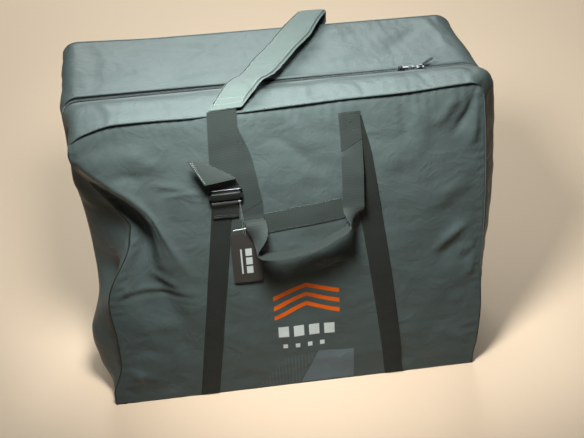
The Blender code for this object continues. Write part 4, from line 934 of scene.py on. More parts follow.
def band(name, part, ys, zip_edge, node_name, body):
    """One gusset: outline (x, z) times depth y, its zip edge closing below the zip's foot."""
    near, far = hoop(0.0, parts=(part,)), hoop(FABRIC, parts=(part,))
    dip = EDGE_ROLL * (1.0 - ease(0.0, ROLL_REACH, np.minimum(ys - ys[0], ys[-1] - ys)))
    side = 1.0 if zip_edge == 0 else -1.0
    reach = np.clip(1.0 - np.abs(ys - ys[zip_edge]) / CLOSING_REACH, 0.0, 1.0)
    grids = []
    for line, share in ((near, dip / FABRIC), (far, 0.0 * dip)):
        flat = line[:, None, :] + (far - line)[:, None, :] * share[None, :, None]
        shut = np.clip((ZIP_FOOT_Z - line[:, 1]) / (ZIP_FOOT_Z - ZIP_CLOSED_Z), 0.0, 1.0)
        pull = shut * (ZIP_Y + side * SEAM_GAP - ys[zip_edge])
        gape = HEM_GAPE * (1.0 - ease(-0.35, 0.30, line[:, 0])) * ease(0.60, 0.69, line[:, 1])
        depth = ys[None, :] + (pull + side * gape)[:, None] * reach[None, :]
        grids.append(np.stack([flat[..., 0], depth, flat[..., 1]], axis=-1))
    uv = np.stack(np.broadcast_arrays(length_along(near)[:, None], ys[None, :]), axis=-1)
    shell(name, grids[0], grids[1], uv, CLOTH_MAT, body, [node_name])


print("gussets close from", ZIP_FOOT_Z, "down to", ZIP_CLOSED_Z, "m")

# %% All six gussets
EDGE = HALF_D - FABRIC - SEAM_GAP
CLOSE_STEPS = np.array([0.0, 0.0015, 0.0030, 0.0050])
FAR_STEP, DEPTH_PITCH = 0.009, 0.006


def depths(low, high):
    """Depths y across a gusset: close together at both edges, then even."""
    even = steps(low + FAR_STEP, high - FAR_STEP, DEPTH_PITCH)
    return np.concatenate([low + CLOSE_STEPS, even, high - CLOSE_STEPS[::-1]])


for part in ("left", "top", "right"):
    front_name, rear_name = part + "_gusset_front", part + "_gusset_rear"
    band(front_name + "_cloth", part, depths(-EDGE, ZIP_Y - HEM), -1, front_name, "front_cover")
    band(rear_name + "_cloth", part, depths(ZIP_Y + HEM, EDGE), 0, rear_name, "rear_shell")
print("gussets:", len(depths(-EDGE, ZIP_Y - HEM)), "and", len(depths(ZIP_Y + HEM, EDGE)), "rows deep")

# %% The base
BASE_GRID = 0.02
half = HALF_W - FABRIC - SEAM_GAP
floor_x, floor_y = np.meshgrid(steps(-half, half, BASE_GRID), steps(-EDGE, EDGE, BASE_GRID))
floor_grid = np.stack([floor_x, floor_y, np.zeros_like(floor_x)], axis=-1)
shell("base_cloth", floor_grid, floor_grid + np.array([0.0, 0.0, FABRIC]), floor_grid[..., :2], CLOTH_MAT,
      "rear_shell", ["base_panel"])
print("base:", round(2 * half, 3), "x", round(2 * EDGE, 3), "m")

# %% [markdown]
# ## The zip
# A zip is two woven tapes with a row of moulded teeth each. The tapes are bands under the edges of the slot.
# The teeth are too many to place by hand and too regular for a texture to hide: one small lens is copied
# at every pitch round the bag, the two rows half a pitch apart, and drape carries them like everything else.

# %% Tapes
TAPE_W, TAPE_T, TAPE_LIP = 0.011, 0.0009, 0.0028


def zip_tape(name, sign, node_name, body):
    """Tape: a band under the edge of the slot, from the zip's foot over the top to its other foot."""
    ys = np.sort(ZIP_Y + sign * np.array([TAPE_LIP, SLOT, SLOT + TAPE_W / 2, SLOT + TAPE_W]))
    low = FABRIC + SEAM_GAP
    grids = []
    for offset in (low, low + TAPE_T):
        line = hoop(offset, ZIP_FOOT_Z)
        grids.append(np.stack(np.broadcast_arrays(line[:, None, 0], ys[None, :], line[:, None, 1]), axis=-1))
    run = length_along(hoop(low, ZIP_FOOT_Z))
    uv = np.stack(np.broadcast_arrays(run[:, None], ys[None, :]), axis=-1)
    shell(name, grids[0], grids[1], uv, TAPE_MAT, body, [node_name])


zip_tape("zip_tape_front_cloth", -1.0, "zip_tape_front", "front_cover")
zip_tape("zip_tape_rear_cloth", 1.0, "zip_tape_rear", "rear_shell")
print("tapes:", TAPE_W * 1000, "mm wide")

# %% Teeth
TOOTH_PITCH, TOOTH_SIDES = 0.0026, 8
TOOTH_LONG, TOOTH_HIGH, TOOTH_TOP = 0.00085, 0.00095, 0.0009
# how far each ring of a tooth is from the zip's middle, and its size
TOOTH_SHAPE = np.array([(0.0007, 0.50), (0.0012, 1.0), (0.0022, 0.90), (0.0036, 0.70)])


def zip_teeth(name, sign, node_name, body):
    """One rounded tooth at each pitch: a lens across the chain, swelling at its head."""
    line, inner = hoop(FABRIC - TOOTH_TOP, ZIP_FOOT_Z), hoop(FABRIC + 0.0030, ZIP_FOOT_Z)
    reach = length_along(line)
    spots = np.arange(TOOTH_PITCH * (0.5 if sign > 0 else 1.0), reach[-1] - 0.001, TOOTH_PITCH)
    at = read_off(spots, reach, line)
    run = unit(read_off(spots + 0.002, reach, line) - read_off(spots - 0.002, reach, line))
    away = unit(at - read_off(spots, reach, inner))
    turn = np.arange(TOOTH_SIDES) * 2 * math.pi / TOOTH_SIDES
    y, swell = TOOTH_SHAPE[:, 0, None], TOOTH_SHAPE[:, 1, None]
    long, high = TOOTH_LONG * swell * np.cos(turn), TOOTH_HIGH * swell * np.sin(turn)
    flat = at[:, None, None] + run[:, None, None] * long[..., None] + away[:, None, None] * high[..., None]
    depth = np.broadcast_to(ZIP_Y + sign * y, flat.shape[:-1])
    points = np.stack([flat[..., 0], depth, flat[..., 1]], axis=-1).reshape(-1, 3)
    rings, size = len(TOOTH_SHAPE), len(TOOTH_SHAPE) * TOOTH_SIDES
    faces = grid_faces(rings, TOOTH_SIDES, wrap=True) + end_caps(rings, TOOTH_SIDES)
    make(name, drape(points), copies(faces, len(at), size), TOOTH_MAT, body, [node_name])
    print(name + ":", len(at), "teeth at", TOOTH_PITCH * 1000, "mm")


zip_teeth("zip_teeth_front", -1.0, "zip_chain_front", "front_cover")
zip_teeth("zip_teeth_rear", 1.0, "zip_chain_rear", "rear_shell")

# %% [markdown]
# ## Seam bindings
# Inside the bag a tape is bound over each long seam, so that the cut edges don't fray. It is hardly seen
# until the cover is opened. A closed ring of four-sided rings is enough for it.

# %% The two bindings
BINDING_W, BINDING_T, BINDING_GAP = 0.0111, 0.0016, 0.0009


def binding(name, y0, node_name, body):
    """The tape bound over a seam inside the bag: a closed ring of four-sided rings."""
    low = FABRIC + BINDING_GAP
    near, far = hoop(low, low), hoop(low + BINDING_T, low + BINDING_T)
    y1 = y0 + BINDING_W
    rings = np.array([[(a, y0, b), (a, y1, b), (c, y1, d), (c, y0, d)] for (a, b), (c, d) in zip(near, far)])
    points, count = rings.reshape(-1, 3), len(rings) * 4
    faces = [[k % count for k in quad] for quad in grid_faces(len(rings) + 1, 4, wrap=True)]
    make(name, drape(points), faces, TAPE_MAT, body, [node_name], points[:, [0, 2]])


binding("front_seam_tape", BINDING_GAP - EDGE, "front_seam_binding", "front_cover")
binding("back_seam_tape", EDGE - BINDING_GAP - BINDING_W, "back_seam_binding", "rear_shell")
print("bindings:", round(BINDING_W * 1000, 1), "mm wide")

# %% [markdown]
# ## Sliders, pulls and patches
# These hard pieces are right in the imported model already, so they keep their shape and only get a finish.
# A small Bevel catches the light on their edges, as the rounded edges of die-cast metal do. One slider
# is dark with a bright pull, and the other is the other way round.

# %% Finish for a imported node
def dress(node_name, mat, bevel=0.0):
    """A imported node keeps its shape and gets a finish, and a small bevel for its edges."""
    obj = frame["nodes"][node_name]
    if not obj.data.materials:
        obj.data.materials.append(mat)
    for k in range(len(obj.material_slots)):
        obj.material_slots[k].material = mat
    if bevel:
        edge = obj.modifiers.new("edge", "BEVEL")
        edge.width, edge.segments, edge.limit_method = bevel, 2, "ANGLE"
        edge.harden_normals = False


SLIDER_FINISH = {"left": METAL_MAT, "right": BRIGHT_MAT}
PULL_FINISH = {"left": BRIGHT_MAT, "right": METAL_MAT}
for side in ("left", "right"):
    dress("zip_slider_" + side, SLIDER_FINISH[side], 0.0003)
    dress("zip_pull_" + side, PULL_FINISH[side], 0.0003)
    dress("zip_end_patch_" + side, TAPE_MAT)
print("zip: two sliders, two pulls and two patches keep their packed shape")

# %% [markdown]
# ## Sewn straps
# Two straps of 40 mm webbing run up each panel, leaning in towards the top, and a wider flat strap slants
# between them. They carry the load, so they are sewn flat all the way. Each is a web along a middle line
# that lies a seam's gap in front of the panel, and a row of stitches is laid inside each edge.

# %% Places of the straps
STRAP_W = 0.040
STRAP_FOOT_X, STRAP_HEAD_X = (-0.1865, 0.2155), (-0.0955, 0.1390)
STRAP_HEAD_Z, STRAP_FOOT_Z = 0.672, 0.004
STRAP_BEND = 0.0075
UPRIGHT = np.array([1.0, 0.0, 0.0])
OUT = np.array([0.0, -1.0, 0.0])


def strap_lean(side):
    """Metres in X that the left (0) or right (1) strap gains for each metre of height."""
    return (STRAP_HEAD_X[side] - STRAP_FOOT_X[side]) / STRAP_HEAD_Z


def strap_x(side, z):
    """Middle of a sewn strap at a height; the right one bends in near its head."""
    return STRAP_FOOT_X[side] + strap_lean(side) * z - STRAP_BEND * side * ease(0.57, STRAP_HEAD_Z, z)


def strap_edge(side, z, sign):
    """Edge of a sewn strap at a height: sign -1 is its left edge, +1 its right."""
    return strap_x(side, z) + sign * (STRAP_W / 2) * math.hypot(1.0, strap_lean(side))


apart = strap_edge(1, STRAP_FOOT_Z, -1.0) - strap_edge(0, STRAP_FOOT_Z, 1.0)
print("straps:", round(float(apart), 3), "m apart at their feet")

# %% Front or back, and stitches along a web
def front_y(depth):
    """A place in front of the front panel, depth metres out from its skin."""
    return -HALF_D - depth


def placed(points, back):
    """Points for the front, or turned to the back."""
    return half_turn(points) if back else np.asarray(points, float)


def facing(back):
    """The way out from the front or the back panel."""
    return -OUT if back else OUT


def outward(face, back):
    """A web's normals, turned so that they point away from the bag."""
    return face * np.sign(face[:, 1].mean()) * (1.0 if back else -1.0)


def lane_runs(left, right, face, lanes, back):
    """Stitch runs along a web at shares of its width, on its outer face."""
    return [(left + (right - left) * lane + face * ON_TOP, facing(back)) for lane in lanes]


print("stitches lie", round(ON_TOP * 1000, 2), "mm out from a web's middle")

# %% A sewn strap
def sewn_strap(place, side, title, back, body):
    """One 40 mm strap up the panel, with a line of stitches inside each edge."""
    heights = np.linspace(STRAP_FOOT_Z, STRAP_HEAD_Z - 0.012, 60)
    depth = np.full_like(heights, front_y(SEAM_GAP + WEB_T / 2))
    path = np.stack([strap_x(side, heights), depth, heights], axis=1)
    name = f"{place}_{title}_strap"
    left, right, face = web_along(name + "_web", path, UPRIGHT, STRAP_W, WEB_MAT, body, [name], back=back)
    return lane_runs(left, right, outward(face, back), (0.07, 0.93), back)

# %% The slanting cross strap
CROSS_W, CROSS_Z, CROSS_RISE = 0.047, 0.442, 0.097


def cross_strap(place, back, body):
    """The flat strap between the sewn straps, its ends cut along their edges."""
    middle = strap_edge(0, CROSS_Z, 1.0)
    along = np.linspace(0.0, 1.0, 70)
    rows = []
    for share in np.linspace(-0.5, 0.5, WEB_LANES):
        z_left = z_right = CROSS_Z + share * CROSS_W
        # each pass brings the right end's height closer to the slanting edge it is cut along
        for _ in range(6):
            z_right = z_left + CROSS_RISE * (strap_edge(1, z_right, -1.0) - middle)
        left = strap_edge(0, z_left, 1.0) + 2 * SEAM_GAP
        right = strap_edge(1, z_right, -1.0) - 2 * SEAM_GAP
        height = z_left + (z_right - z_left) * along
        rows.append(np.stack([left + (right - left) * along, 0.0 * along, height], axis=1))
    outer, inner = np.array(rows), np.array(rows)
    outer[..., 1], inner[..., 1] = front_y(SEAM_GAP + WEB_T), front_y(SEAM_GAP)
    shell(place + "_cross_strap_web", placed(outer, back), placed(inner, back), outer[..., [0, 2]],
          PALE_WEB_MAT, body, [place + "_cross_strap"])
    top, centre = outer + OUT * 0.0001, WEB_LANES // 2
    return [(placed(0.9 * top[k] + 0.1 * top[centre], back), facing(back)) for k in (0, -1)]

# %% [markdown]
# ## Hand loops
# Each panel has a loop of webbing to lift it by. Its two ends are sewn flat, and below a slanting fold line
# it hangs free: each leg twists a quarter turn into a span that stands on edge, off the bag. A rig or a
# cloth simulation could find that shape. A curve through a few points and a twist that follows the height
# give it at once, and keep the web's width true.

# %% Places of the loops
HANDLE_TOP_X = (-0.096, 0.130)
HANDLE_MID = ((-0.0746, 0.600), (0.1315, 0.640))
HANDLE_HINGE = ((-0.0615, 0.4920), (0.1330, 0.600))
HANDLE_LOW_X, HANDLE_LOW_Z = (-0.062, 0.140), (0.408, 0.4385)
# x, depth and z of the span of a hand loop, from its left corner up into its right leg
SPAN_KNOTS = ((-0.0290, 0.0410, 0.3975), (0.0111, 0.0405, 0.3990), (0.0547, 0.0400, 0.4080),
              (0.0907, 0.0385, 0.4255), (0.1175, 0.0340, 0.4390), (0.1291, 0.0240, 0.4560),
              (0.1304, 0.0155, 0.4870), (0.1318, 0.0122, 0.5400))
# how far each leg leans across, out and down just below its fold line
LEG_LEAN = ((0.0002, 0.0018, -0.0260), (-0.0004, 0.0036, -0.0250))
HANDLE_TILT, HANDLE_CORNER, HANDLE_STANDOFF = 16.0, 0.030, 0.016
# height over which each leg makes its quarter turn
TWIST_HEIGHT = (0.055, 0.036)
# a sewn web takes this much depth, and one of them lies under a loop
LAYER = 0.0020
HANDLE_DEPTH = SEAM_GAP + LAYER + WEB_T / 2


def handle_slope():
    """Rise of the slanting fold line of a hand loop, per metre of X."""
    (x0, z0), (x1, z1) = HANDLE_HINGE
    return (z1 - z0) / (x1 - x0)


print("fold lines slant by", round(math.degrees(math.atan(handle_slope())), 1), "degrees")

# %% The sewn end of a leg
def handle_end(place, side, title, back, body):
    """The flat upper length of a loop's leg, sewn with a crossed box, down to the slanting fold line."""
    (xm, zm), (xh, zh) = HANDLE_MID[side], HANDLE_HINGE[side]
    knots = [(HANDLE_TOP_X[side], 0.0, STRAP_HEAD_Z), (xm, 0.0, zm), (xh, 0.0, zh + 1.5 * SEAM_GAP)]
    points = smooth_path(knots, 40)
    points[:, 1] = front_y(HANDLE_DEPTH)
    lean = ease(0.70, 1.0, np.linspace(0.0, 1.0, len(points)))
    across = np.stack([np.ones_like(lean), 0.0 * lean, lean * handle_slope()], axis=1)
    name = f"{place}_handle_{title}_end"
    left, right, face = web_along(name + "_web", points, across, STRAP_W, LOOP_WEB_MAT, body, [name],
                                  back=back)
    face = outward(face, back)
    first, last, inset = 1, 10, 0.08
    runs = []
    for k in (first, last):
        ends = [left[k] + (right[k] - left[k]) * share for share in (inset, 1.0 - inset)]
        runs.append((np.linspace(*ends, 12) + face[k] * ON_TOP, facing(back)))
    box = slice(first, last + 1)
    runs += lane_runs(left[box], right[box], face[box], (inset, 1.0 - inset), back)
    for share in (inset, 1.0 - inset):
        start = left[first] + (right[first] - left[first]) * share
        end = left[last] + (right[last] - left[last]) * (1.0 - share)
        runs.append((np.linspace(start, end, 14) + face[3] * ON_TOP, facing(back)))
    return runs

# %% The hanging loop
def loop_route():
    """Points down the left leg, along the span and up the right leg."""
    out = HANDLE_DEPTH + HANDLE_STANDOFF + STRAP_W / 2
    legs = []
    for side in (0, 1):
        (x, z), (lean_x, lean_out, lean_z) = HANDLE_HINGE[side], LEG_LEAN[side]
        top = np.array([x, front_y(HANDLE_DEPTH), z - SEAM_GAP])
        legs.append([top, top + np.array([lean_x, -lean_out, lean_z])])
    x, z = HANDLE_LOW_X[0], HANDLE_LOW_Z[0]
    knee = np.array([x + 0.2 * HANDLE_CORNER, front_y(out - 0.4 * HANDLE_CORNER), z + HANDLE_CORNER])
    route = legs[0] + [0.5 * (legs[0][0] + knee), knee, np.array([x, front_y(out), z])]
    route += [np.array([x, front_y(depth), z]) for x, depth, z in SPAN_KNOTS]
    return smooth_path(route + legs[1][::-1], 52)


def handle_loop(place, back, body):
    """The hanging loop: two legs that twist a quarter turn into a span that stands off the bag."""
    path = loop_route()
    on_left = path[:, 0] < 0.5 * (HANDLE_LOW_X[0] + HANDLE_LOW_X[1])
    turned = [ease(low, low + high, path[:, 2]) for low, high in zip(HANDLE_LOW_Z, TWIST_HEIGHT)]
    twist = (1.0 - np.where(on_left, *turned)) * math.pi / 2
    rise = math.tan(math.radians(HANDLE_TILT)) * np.sin(twist)
    across = np.stack([np.cos(twist), -np.sin(twist), rise], axis=1)
    across[~on_left] *= np.array([-1.0, 1.0, 1.0])
    across = unit(across)
    slope = handle_slope()
    across[0], across[1] = (1.0, 0.0, slope), (1.0, 0.0, 0.5 * slope)
    across[-2], across[-1] = (-1.0, 0.0, -0.5 * slope), (-1.0, 0.0, -slope)
    web_along(place + "_handle_web", path, across, STRAP_W, LOOP_WEB_MAT, body, [place + "_handle"],
              pitch=0.003, back=back)


print("loop:", round(float(length_along(loop_route())[-1]), 3), "m of free webbing")

# %% Webbing of both panels
for place, back, body in (("front", False, "front_cover"), ("back", True, "rear_shell")):
    titles = ("right", "left") if back else ("left", "right")
    sewn, crossed = [], []
    for side in (0, 1):
        sewn += sewn_strap(place, side, titles[side], back, body)
        crossed += handle_end(place, side, titles[side], back, body)
    sewn += cross_strap(place, back, body)
    handle_loop(place, back, place + "_handle")
    stitches(place + "_strap_stitches", sewn, STITCH_MAT, body)
    stitches(place + "_handle_stitches", crossed, STITCH_MAT, body)

# %% [markdown]
# ## The buckle and its tab
# The front end of the shoulder strap can be made longer: its web runs behind a metal frame, round a loose bar
# that jams it, and back up in front to a tail. The frame's lower rail sits in a fold of a short tab, which is
# sewn on the left strap. Each web here lies in its own layer, counted out from the panel, so the depths
# are worked out from the layers and the rail and not set one by one.

# %% Layers of the buckle
SHOULDER_W = 0.054
BUCKLE_Z, RAIL_R, RAIL_CLEAR = 0.515, 0.0018, 0.0004
RAIL_BEND = RAIL_R + RAIL_CLEAR + WEB_T / 2
TAB_DEPTH = SEAM_GAP + LAYER + WEB_T / 2
RAIL_DEPTH = SEAM_GAP + 3 * LAYER + WEB_T + RAIL_CLEAR + RAIL_R


def buckle_point(x, depth, height):
    """A point of the buckle: across, out from the panel, and up from its lower rail."""
    return np.array([SHOULDER_X + x, front_y(depth), BUCKLE_Z + height])


print("buckle: its rail stands", round(RAIL_DEPTH * 1000, 1), "mm out from the panel")

# %% The tab, folded round the lower rail
TAB_W, TAB_SHIFT, TAB_LENGTH = 0.050, -0.003, 0.040


def buckle_tab():
    """The short web sewn on the left strap and folded round the buckle's lower rail."""
    back = [(TAB_DEPTH, h) for h in np.linspace(-TAB_LENGTH, -0.016, 5)]
    back += [(0.5 * (TAB_DEPTH + RAIL_DEPTH - RAIL_BEND), -0.008), (RAIL_DEPTH - RAIL_BEND - 0.0002, -0.002)]
    turn = np.radians(np.linspace(-90.0, 120.0, 12))
    fold = [(RAIL_DEPTH + RAIL_BEND * math.sin(a), RAIL_BEND * math.cos(a)) for a in turn]
    close, last = TAB_DEPTH + WEB_T + 0.00035, fold[-1][1]
    front = [(close + 0.0012, last - 0.011), (close, last - 0.017), (close, 0.0012 - TAB_LENGTH)]
    path = np.array([buckle_point(TAB_SHIFT, d, h) for d, h in back + fold + front])
    web_along("buckle_tab_web", path, UPRIGHT, TAB_W, WEB_MAT, "front_cover", ["buckle_tab"], pitch=0.0012)
    runs = []
    for up in (0.0040, 0.0075):
        ends = [buckle_point(TAB_SHIFT + x, close + ON_TOP, up - TAB_LENGTH) for x in (-0.023, 0.023)]
        runs.append((np.linspace(*ends, 20), OUT))
    stitches("buckle_tab_stitches", runs, STITCH_MAT, "front_cover", radius=0.0004)


buckle_tab()

# %% [markdown]
# ## The web on the buckle
# This web is the one piece that shows how the strap is adjusted, so it isn't simplified: it goes down behind
# the frame, under the bar and up in front, and its tail folds forward over a slanting crease. The straight
# part has one middle line. The tail is laid out by its two edges, because a slanting fold turns them at
# different heights. Where the web wraps round the bar it is smoother, and it is painted darker for the shade
# it lies in under the tail.

# %% The tail, edge by edge
FRAME_H, BAR_TRAVEL, BAR_LOW, BAR_HIGH, BAR_DEPTH = 0.0280, 0.003, 0.0110, 0.0205, 0.0046
TAIL_FOLD = ((-0.040, 0.0170, 0.101), (0.020, 0.0230, 0.062))
TAIL_END = ((-0.0640, 0.0260, 0.1088), (-0.0376, 0.0345, 0.0592))
TAIL_FOLD_ANGLE, TAIL_BEND_R = 135.0, 0.0020


def tail_rows(lay):
    """The tail's edge rows: up from the buckle to a slanting fold, then forward and down to the left."""
    start = FRAME_H + BAR_TRAVEL + 0.0026
    low = [buckle_point(x, lay, start) for x in (-SHOULDER_W / 2, SHOULDER_W / 2)]
    fold, ends = [[buckle_point(*corner) for corner in pair] for pair in (TAIL_FOLD, TAIL_END)]
    crease = unit(fold[1] - fold[0])
    rise = unit(np.mean(fold, axis=0) - np.mean(low, axis=0))
    up = unit(rise - crease * np.dot(rise, crease))
    out = np.cross(crease, up)
    out = out * (-1.0 if out[1] > 0.0 else 1.0)
    rows = []
    for share in (0.0, 0.15, 0.33, 0.5, 0.66, 0.83, 1.0):
        rows.append((low[0] + (fold[0] - low[0]) * share, low[1] + (fold[1] - low[1]) * share, out))
    for turn in np.linspace(0.0, math.radians(TAIL_FOLD_ANGLE), 10)[1:]:
        face = out * math.cos(turn) - up * math.sin(turn)
        shift = TAIL_BEND_R * (out - face)
        rows.append((fold[0] + shift, fold[1] + shift, face))
    left, right, face = rows[-1]
    flat = unit(np.cross(ends[0] - left, right - left))
    flat = flat * (1.0 if np.dot(flat, face) > 0.0 else -1.0)
    for share in np.linspace(0.0, 1.0, 11)[1:]:
        turned = unit(face + (flat - face) * ease(0.0, 0.3, share))
        rows.append((left + (ends[0] - left) * share, right + (ends[1] - right) * share, turned))
    return rows


print("tail: folded by", TAIL_FOLD_ANGLE, "degrees")

# %% From the pad to the tail
PAD_FRONT, PAD_REAR = (-0.104, -0.168, 0.7140), (0.1125, 0.176, 0.7200)
SHOULDER_LEAN = 0.008
LOAD_DEPTH = SEAM_GAP + 2 * LAYER + WEB_T / 2
TAIL_DEPTH = LOAD_DEPTH + LAYER
BAR_MIDDLE, BAR_BEND = RAIL_DEPTH + 0.0006, BAR_DEPTH / 2 + RAIL_CLEAR + WEB_T / 2


def web_routes(top):
    """(depth, height) of the web down behind the frame, round the bar and up in front."""
    down = [(LOAD_DEPTH + 0.0006, top), (LOAD_DEPTH, top - 0.016)]
    down += [(LOAD_DEPTH, h) for h in np.linspace(0.670 - BUCKLE_Z, FRAME_H + 0.006, 40)]
    down += [(LOAD_DEPTH, FRAME_H), (LOAD_DEPTH + 0.0004, FRAME_H - 0.0035),
             (BAR_MIDDLE - BAR_BEND, BAR_HIGH - 0.0015)]
    turn = np.radians(np.linspace(-90.0, 90.0, 15))
    wrap = [(BAR_MIDDLE + BAR_BEND * math.sin(a), BAR_LOW - BAR_BEND * math.cos(a) + 0.0006) for a in turn]
    front = BAR_MIDDLE + BAR_BEND
    wrap += [(front + 0.0003, 0.5 * (BAR_LOW + BAR_HIGH)), (front, BAR_HIGH + 0.0002),
             (front - 0.0006, BAR_HIGH + 0.0016), (BAR_MIDDLE + 0.0010, BAR_HIGH + 0.0028),
             (RAIL_DEPTH, BAR_HIGH + 0.0032), (RAIL_DEPTH - 0.0022, BAR_HIGH + 0.0045),
             (TAIL_DEPTH, FRAME_H - 0.0006)]
    return down, wrap


def shoulder_web_front():
    """From the pad down behind the frame, under the bar, up in front, and its folded tail."""
    top = PAD_FRONT[2] - 0.0038 - BUCKLE_Z
    down, wrap = web_routes(top)
    lean = SHOULDER_LEAN / (top - FRAME_H)
    flat = [buckle_point(lean * max(h - FRAME_H, 0.0), d, h) for d, h in down]
    flat = np.array(flat + [buckle_point(0.0, d, h) for d, h in wrap])
    face = unit(np.cross(unit(np.gradient(flat, axis=0)), UPRIGHT))
    tail_left, tail_right, tail_face = (np.array(part) for part in zip(*tail_rows(TAIL_DEPTH)))
    left = np.vstack([flat - UPRIGHT * SHOULDER_W / 2, tail_left])
    right = np.vstack([flat + UPRIGHT * SHOULDER_W / 2, tail_right])
    sign = -1.0 if np.dot(face[-1], tail_face[0]) < 0.0 else 1.0
    face = np.vstack([face, sign * tail_face])
    # the loops' tone, darker than the rest of the shoulder webbing, paints shade on the front web under the
    # pad and tail
    made = web("shoulder_web_front_web", left, right, face, LOOP_WEB_MAT, "buckle_bar",
               ["shoulder_web_front"])
    # the rows round the bar take the darker finish, which is painted shade
    made.data.materials.append(BAR_WRAP_SHADE_MAT)
    first, last = (len(down) - 1) * 2 * WEB_LANES, (len(down) + len(wrap) - 1) * 2 * WEB_LANES
    for polygon in made.data.polygons:
        if first <= min(polygon.vertices) < last:
            polygon.material_index = 1
    normal, toward = tail_face[-1], unit(left[-3] - left[-1])
    hem = np.linspace(left[-1], right[-1], 20)[1:-1]
    runs = []
    for back_off in (0.003, 0.0065):
        for way in (-normal, normal):
            runs.append((hem + toward * back_off + way * ON_TOP, way))
    stitches("strap_tail_stitches", runs, PALE_STITCH_MAT, "buckle_bar", radius=0.0008)
    print("front web:", len(left), "rows, the shade-painted ones from", len(down), "to", len(down) + len(wrap))


shoulder_web_front()

# %% [markdown]
# ## The shoulder pad
# The pad is a long cushion: a full middle, two quilted lines along it and bound edges that are pinched thin.
# A box under a Subdivision Surface would lose the sharp channel. Here one cross-section, a flattened
# round with two dips, is carried along the strap's path over the top of the bag and swells a little unevenly.

# %% The pad's section and path
PAD_WIDE, PAD_T, PAD_CAMBER, PAD_SHIFT = 0.062, 0.009, 0.010, 0.0068
ACROSS = np.linspace(-1.0, 1.0, 15)
FULL = np.sqrt(np.clip(1.0 - ACROSS ** 6, 0.0, 1.0))
SECTION_X = np.concatenate([ACROSS, ACROSS[::-1][1:-1]])
SECTION_H = np.concatenate([FULL, -FULL[::-1][1:-1]])
# share of the length, and how far the pad's rear end has bent over in y and z
PAD_END = np.array([[1.0, 0.0, 0.0], [1.03, 0.010, -0.006], [1.07, 0.0135, -0.018], [1.12, 0.0135, -0.034]])


def pad_frames():
    """Share, path, across, face and half-thickness along the pad."""
    share = np.concatenate([np.linspace(0.0, 1.0, 90), [1.015, 1.03, 1.05, 1.07, 1.095, 1.12]])
    ends = np.array([PAD_FRONT, PAD_REAR])
    s = np.clip(share, 0.0, 1.0)
    path = ends[0] + (ends[1] - ends[0]) * s[:, None]
    path[:, 2] += PAD_CAMBER * np.sin(math.pi * s)
    path[:, 1:] += read_off(share, PAD_END[:, 0], PAD_END[:, 1:])
    path[:, 0] += PAD_SHIFT - 0.0085 * ease(0.75, 1.0, share)
    square = ease(0.0, 0.25, share) * (1.0 - ease(0.75, 1.0, share))
    run = unit(ends[1, :2] - ends[0, :2])
    across = np.stack([1.0 - (1.0 - run[1]) * square, -run[0] * square, np.zeros_like(square)], axis=1)
    across = across * (1.0 + 0.05 * (1.0 - ease(0.0, 0.25, share)))[:, None]
    face = unit(np.cross(across, unit(np.gradient(path, axis=0))))
    fill = ease(-0.02, 0.08, share) * (1.0 - ease(1.02, 1.14, share))
    return share, path, across, face, WEB_T / 2 + (PAD_T - WEB_T) * fill / 2


print("pad:", round(float(length_along(pad_frames()[1])[-1]), 3), "m long and", PAD_WIDE * 1000, "mm wide")

# %% The pad, its quilting and its painted shade lines
QUILT_LANE, SHADE_LINE_LANE, PAD_THREAD = 0.74, 0.85, 0.00012


def pad_lines(path, across, up, lift, lane):
    """Two lines along the pad, at a share of its half width on either side."""
    runs = []
    for side in (-lane, lane):
        line = path + across * side * PAD_WIDE / 2 + up * lift[:, None]
        runs.append((line[3:-3], (0.0, 0.0, 1.0)))
    return runs


def shoulder_pad():
    """The padded length: a full section between two quilted lines, pinched at its bound edges."""
    share, path, across, face, high = pad_frames()
    channel = 1.0 - 0.70 * bell((np.abs(SECTION_X) - 0.82) / 0.050)
    puff = high * (1.0 + 0.06 * np.sin(share * 47.0) * bell((share - 0.5) / 0.45))
    section = (SECTION_H * channel)[None, :] * puff[:, None]
    wide = across[:, None] * (SECTION_X * PAD_WIDE / 2)[None, :, None]
    rings = path[:, None] + wide + face[:, None] * section[..., None]
    rows, sides = rings.shape[:2]
    faces = grid_faces(rows, sides, wrap=True) + end_caps(rows, sides)
    uv = np.stack([np.repeat(length_along(path), sides), np.tile(SECTION_X * PAD_WIDE / 2, rows)], axis=1)
    pad = make("shoulder_pad_cloth", drape(rings.reshape(-1, 3)), faces, PAD_MAT, "shoulder_strap",
               ["shoulder_pad"], uv)
    up = face * np.sign(face[45, 2])
    quilted = 0.93 * np.interp(QUILT_LANE, ACROSS, FULL)
    runs = pad_lines(path, across, up, high * quilted + PAD_THREAD, QUILT_LANE)
    for k in (3, 6):
        reach = 0.45 * PAD_WIDE * across[k]
        row = np.linspace(path[k] - reach, path[k] + reach, 14)
        runs.append((row + up[k] * (high[k] + PAD_THREAD), (0.0, -0.3, 1.0)))
    stitches("pad_stitches", runs, PALE_STITCH_MAT, "shoulder_strap", radius=0.0004)
    # painted shade: thick dark thread, nearly unbroken, stands for the shadow in the groove inside each bound
    # edge
    seams = pad_lines(path, across, up, high * 0.62, SHADE_LINE_LANE)
    stitches("pad_painted_shade_lines", seams, STITCH_MAT, "shoulder_strap", long=0.0038, radius=0.0009)


shoulder_pad()

# %% [markdown]
# ## The shoulder strap's rear end
# Behind the pad the strap goes on as plain webbing over the rear edge and down the back, where its end is
# sewn on with a box and a cross. The moving web and the sewn end are two pieces, because one of them swings.

# %% Rear web and anchor
ANCHOR_HEAD_Z, ANCHOR_FOOT_Z = 0.560, 0.500


